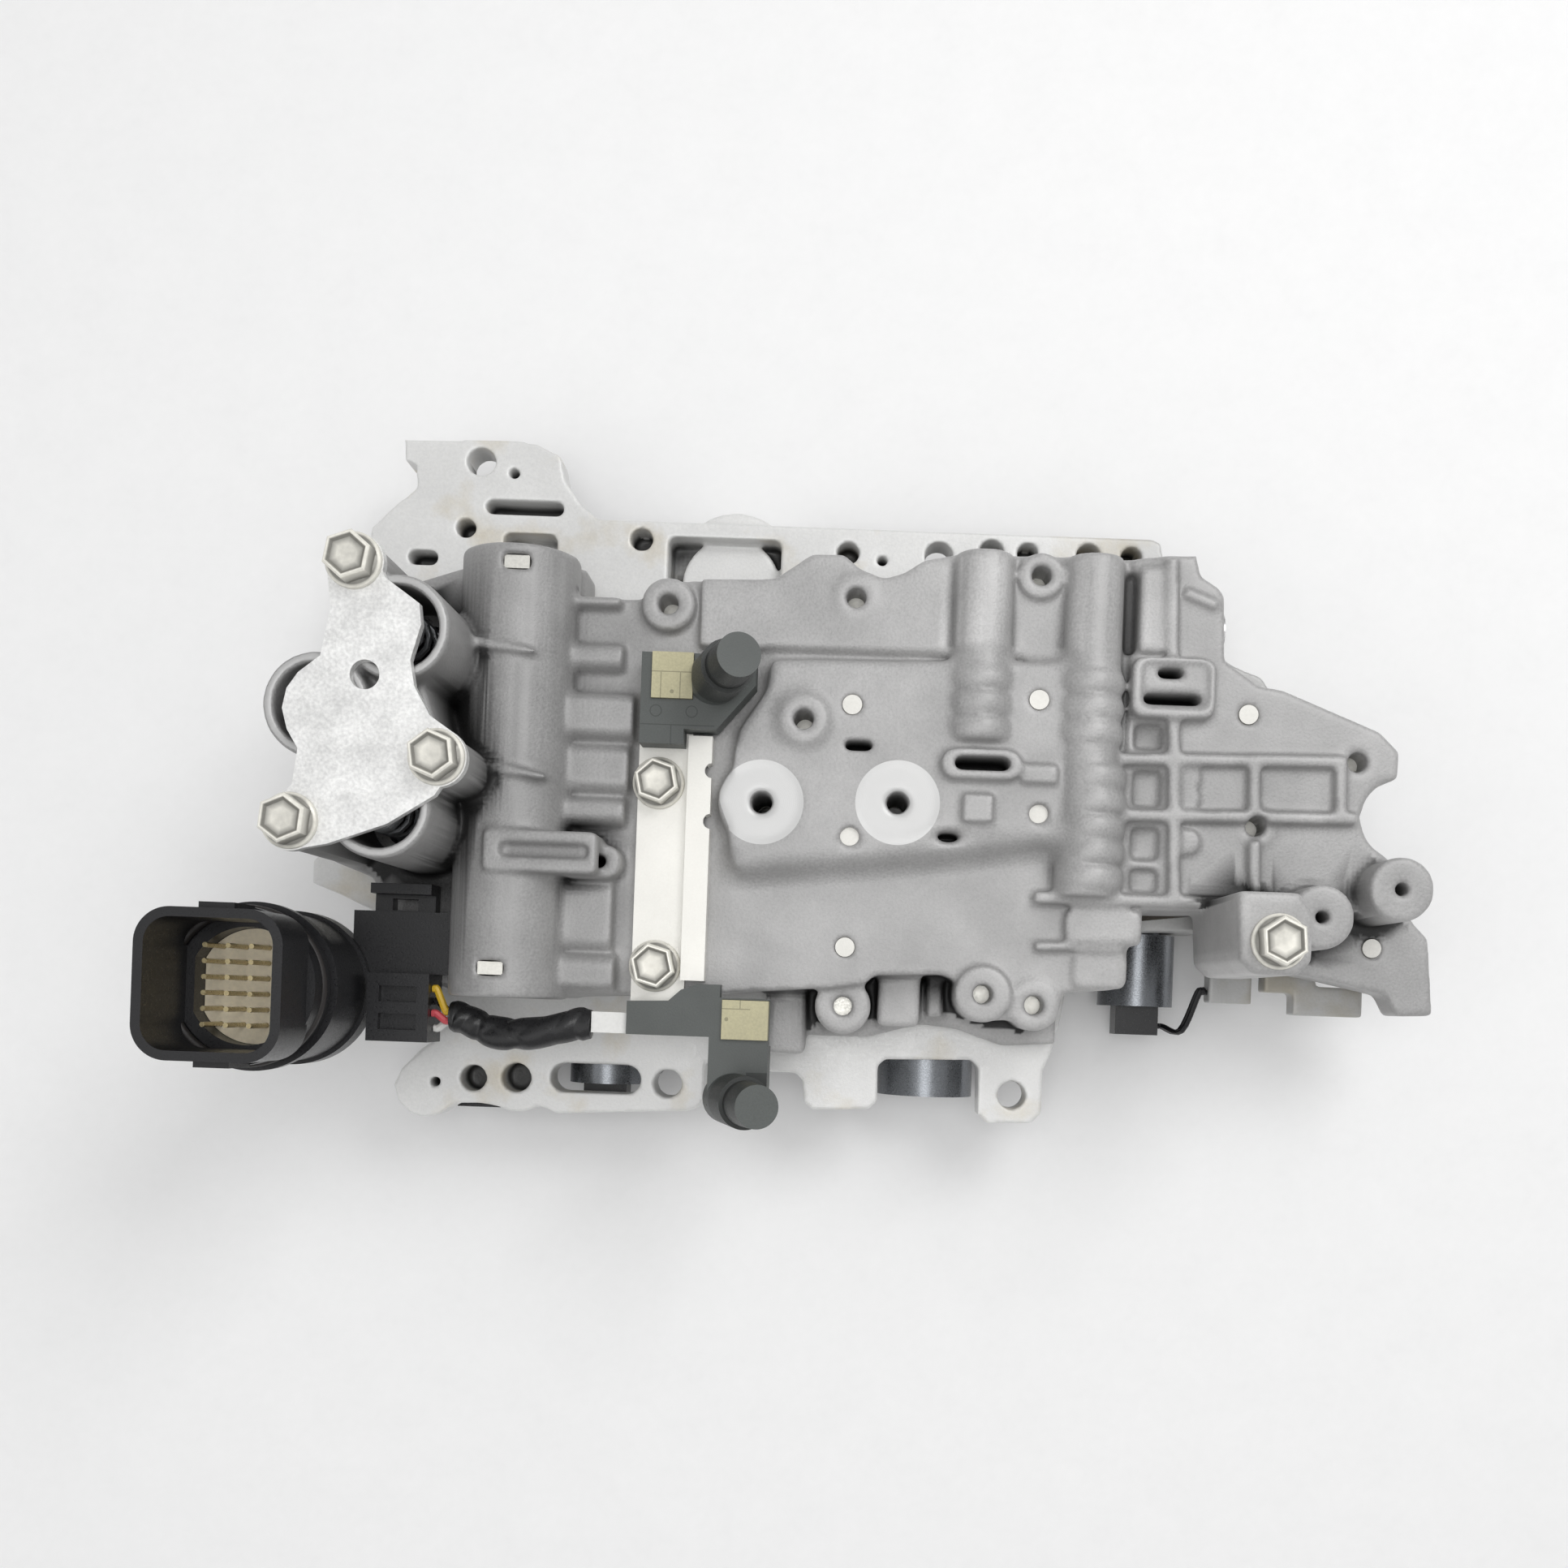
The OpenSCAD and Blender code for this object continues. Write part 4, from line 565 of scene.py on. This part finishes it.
SLEEVE_POINTS = np.array([(-96, -64.2, 57.3), (-94, -64.2, 57.3), (-91, -65.4, 57.4), (-85, -68.2, 58.3),
                          (-76, -68, 59.9), (-67, -66.2, 61.3), (-63, -64.9, 61.9),
                          (-59.5, -64.9, 61.9)]) / 1000
SLEEVE_RADIUS = 0.0036
SLEEVE_SIDES = 48
SLEEVE_STEPS = 150
SLEEVE_ROUNDS = 60
steps = np.linspace(0, 1, SLEEVE_STEPS)
knots = np.linspace(0, 1, len(SLEEVE_POINTS))
smooth = np.stack([np.interp(steps, knots, SLEEVE_POINTS[:, k]) for k in range(3)], 1)
for _ in range(SLEEVE_ROUNDS):
    smooth[1:-1] = 0.5 * smooth[1:-1] + 0.25 * (smooth[2:] + smooth[:-2])
u, v = np.meshgrid(steps, 2 * np.pi * np.arange(SLEEVE_SIDES) / SLEEVE_SIDES, indexing="ij")
# Wrinkles as a share of the radius: slanted waves, two pinched folds, sharp small creases, an oval section.
creases = (0.10 * np.sin(13 * u + 1.2 * np.sin(v + 2)) * np.cos(v - 1)
           - 0.10 * np.exp(-((u - 0.36) / 0.02) ** 2)
           - 0.12 * np.exp(-((u - 0.52 - 0.03 * np.sin(2 * v)) / 0.025) ** 2)
           + 0.06 * np.abs(np.sin(21 * u + 1.5 * np.sin(v + 1))) + 0.08 * np.cos(2 * v))
fade = np.minimum(1, 12 * np.minimum(u, 1 - u))
sleeve = tube("sleeve", smooth, SLEEVE_RADIUS * (1 + creases * fade), SLEEVE_SIDES)
sleeve.data.materials.append(finish("wrinkled_sleeve", (0.012, 0.012, 0.013), 0.0, 0.32, grain=1500,
                                    depth=0.00004, tone=0.2))
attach(sleeve, "housing")
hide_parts("harness_sleeve")
dress("harness_clip", finish("white_clip", (0.76, 0.76, 0.74), 0.0, 0.45, tone=0.05))
for node, colour in (("wire_yellow", (0.65, 0.42, 0.03)), ("wire_red", (0.6, 0.08, 0.1)),
                     ("wire_white", (0.75, 0.75, 0.72)), ("wire_black", (0.01, 0.01, 0.01))):
    dress(node, finish(node + "_insulation", colour, 0.0, 0.4, tone=0.08))

# Case connector
# A black moulded shell that seals in the gearbox case with an O-ring, around a beige insert with plated pins.
dress("connector_shell", black_plastic)
dress("connector_bracket", black_plastic)
# The insert's colour is brighter than its own beige, as painted light where it sits deep in the shell's shade.
dress("connector_insert", finish("beige_insert", (0.92, 0.82, 0.62), 0.0, 0.55, tone=0.06))
dress("connector_pins", finish("plated_pin", (0.5, 0.42, 0.24), 0.9, 0.3))
dress("connector_o_ring", finish("seal_rubber", (0.02, 0.017, 0.016), 0.0, 0.55))

# Solenoids
# Drawn steel cans with a nose in the lower casting and moulded sockets, and the loose leads beside them.
# The cans' colour is darkened as a painted reflection of the dark surroundings that their curved sides mirror.
can = finish("drawn_can", (0.2, 0.21, 0.225), 0.9, 0.3, grain=2600, depth=0.00002)
for node in ("line_solenoid", "shift_solenoid_1", "shift_solenoid_2", "shift_solenoid_3"):
    dress(node, can)
dress("solenoid_sockets", black_plastic)
flange_bolts("arm_bolt_side", [(103.2, -39.5, 5)])
dress("side_leads", black_plastic)

# Stage
# A plain pale floor, soft lamps overhead and the camera straight above, as the photograph was taken.
FLOOR_SIZE = 3.0
FLOOR_DROP = 0.0002
bpy.ops.mesh.primitive_plane_add(size=FLOOR_SIZE, location=(0, 0, -FLOOR_DROP))
floor = bpy.context.object
floor.name = "floor"
floor.data.materials.append(finish("pale_floor", (0.95, 0.95, 0.95), 0.0, 0.9, grain=300, depth=0.00001,
                                   tone=0.01))
scene = bpy.context.scene
scene.view_settings.view_transform = "Standard"
SKY_STRENGTH = (0.3, 0.62)
SKY_HEIGHT = (0.0, 0.9)
world = bpy.data.worlds.new("studio")
world.use_nodes = True
sky = world.node_tree
direction = sky.nodes.new("ShaderNodeSeparateXYZ")
sky.links.new(sky.nodes.new("ShaderNodeTexCoord").outputs["Generated"], direction.inputs[0])
glow = sky.nodes["Background"]
sky.links.new(ranged(sky, direction.outputs["Z"], *SKY_STRENGTH, *SKY_HEIGHT), glow.inputs["Strength"])
glow.inputs["Color"].default_value = (1, 1, 1, 1)
scene.world = world


def lamp(name, place, size, power):
    """A square soft lamp that faces the middle of the object."""
    light = bpy.data.lights.new(name, "AREA")
    light.size = size
    light.energy = power
    holder = bpy.data.objects.new(name, light)
    holder.location = place
    x, y, z = place
    holder.rotation_euler = (math.atan2(math.hypot(x, y), z), 0, math.atan2(x, -y))
    bpy.context.collection.objects.link(holder)


lamp("key", (0.45, 0.5, 0.9), 0.5, 4)
lamp("fill", (-0.7, -0.4, 0.8), 0.8, 1)
lamp("top", (0.0, -0.06, 0.85), 0.35, 1.2)

PHOTO_SIDE = 1932
FOCAL_PX = 1911
PRINCIPAL = (1046, 1240)
ROLL = math.radians(2.1)
SENSOR_WIDTH = 36
camera_data = bpy.data.cameras.new("camera")
camera_data.sensor_width = SENSOR_WIDTH
camera_data.lens = SENSOR_WIDTH * FOCAL_PX / PHOTO_SIDE
camera_data.shift_x = (PHOTO_SIDE / 2 - PRINCIPAL[0]) / PHOTO_SIDE
camera_data.shift_y = (PRINCIPAL[1] - PHOTO_SIDE / 2) / PHOTO_SIDE
camera = bpy.data.objects.new("camera", camera_data)
camera.location = (0.005, -0.058, 0.452)
camera.rotation_euler = (0, 0, ROLL)
bpy.context.collection.objects.link(camera)
scene.camera = camera
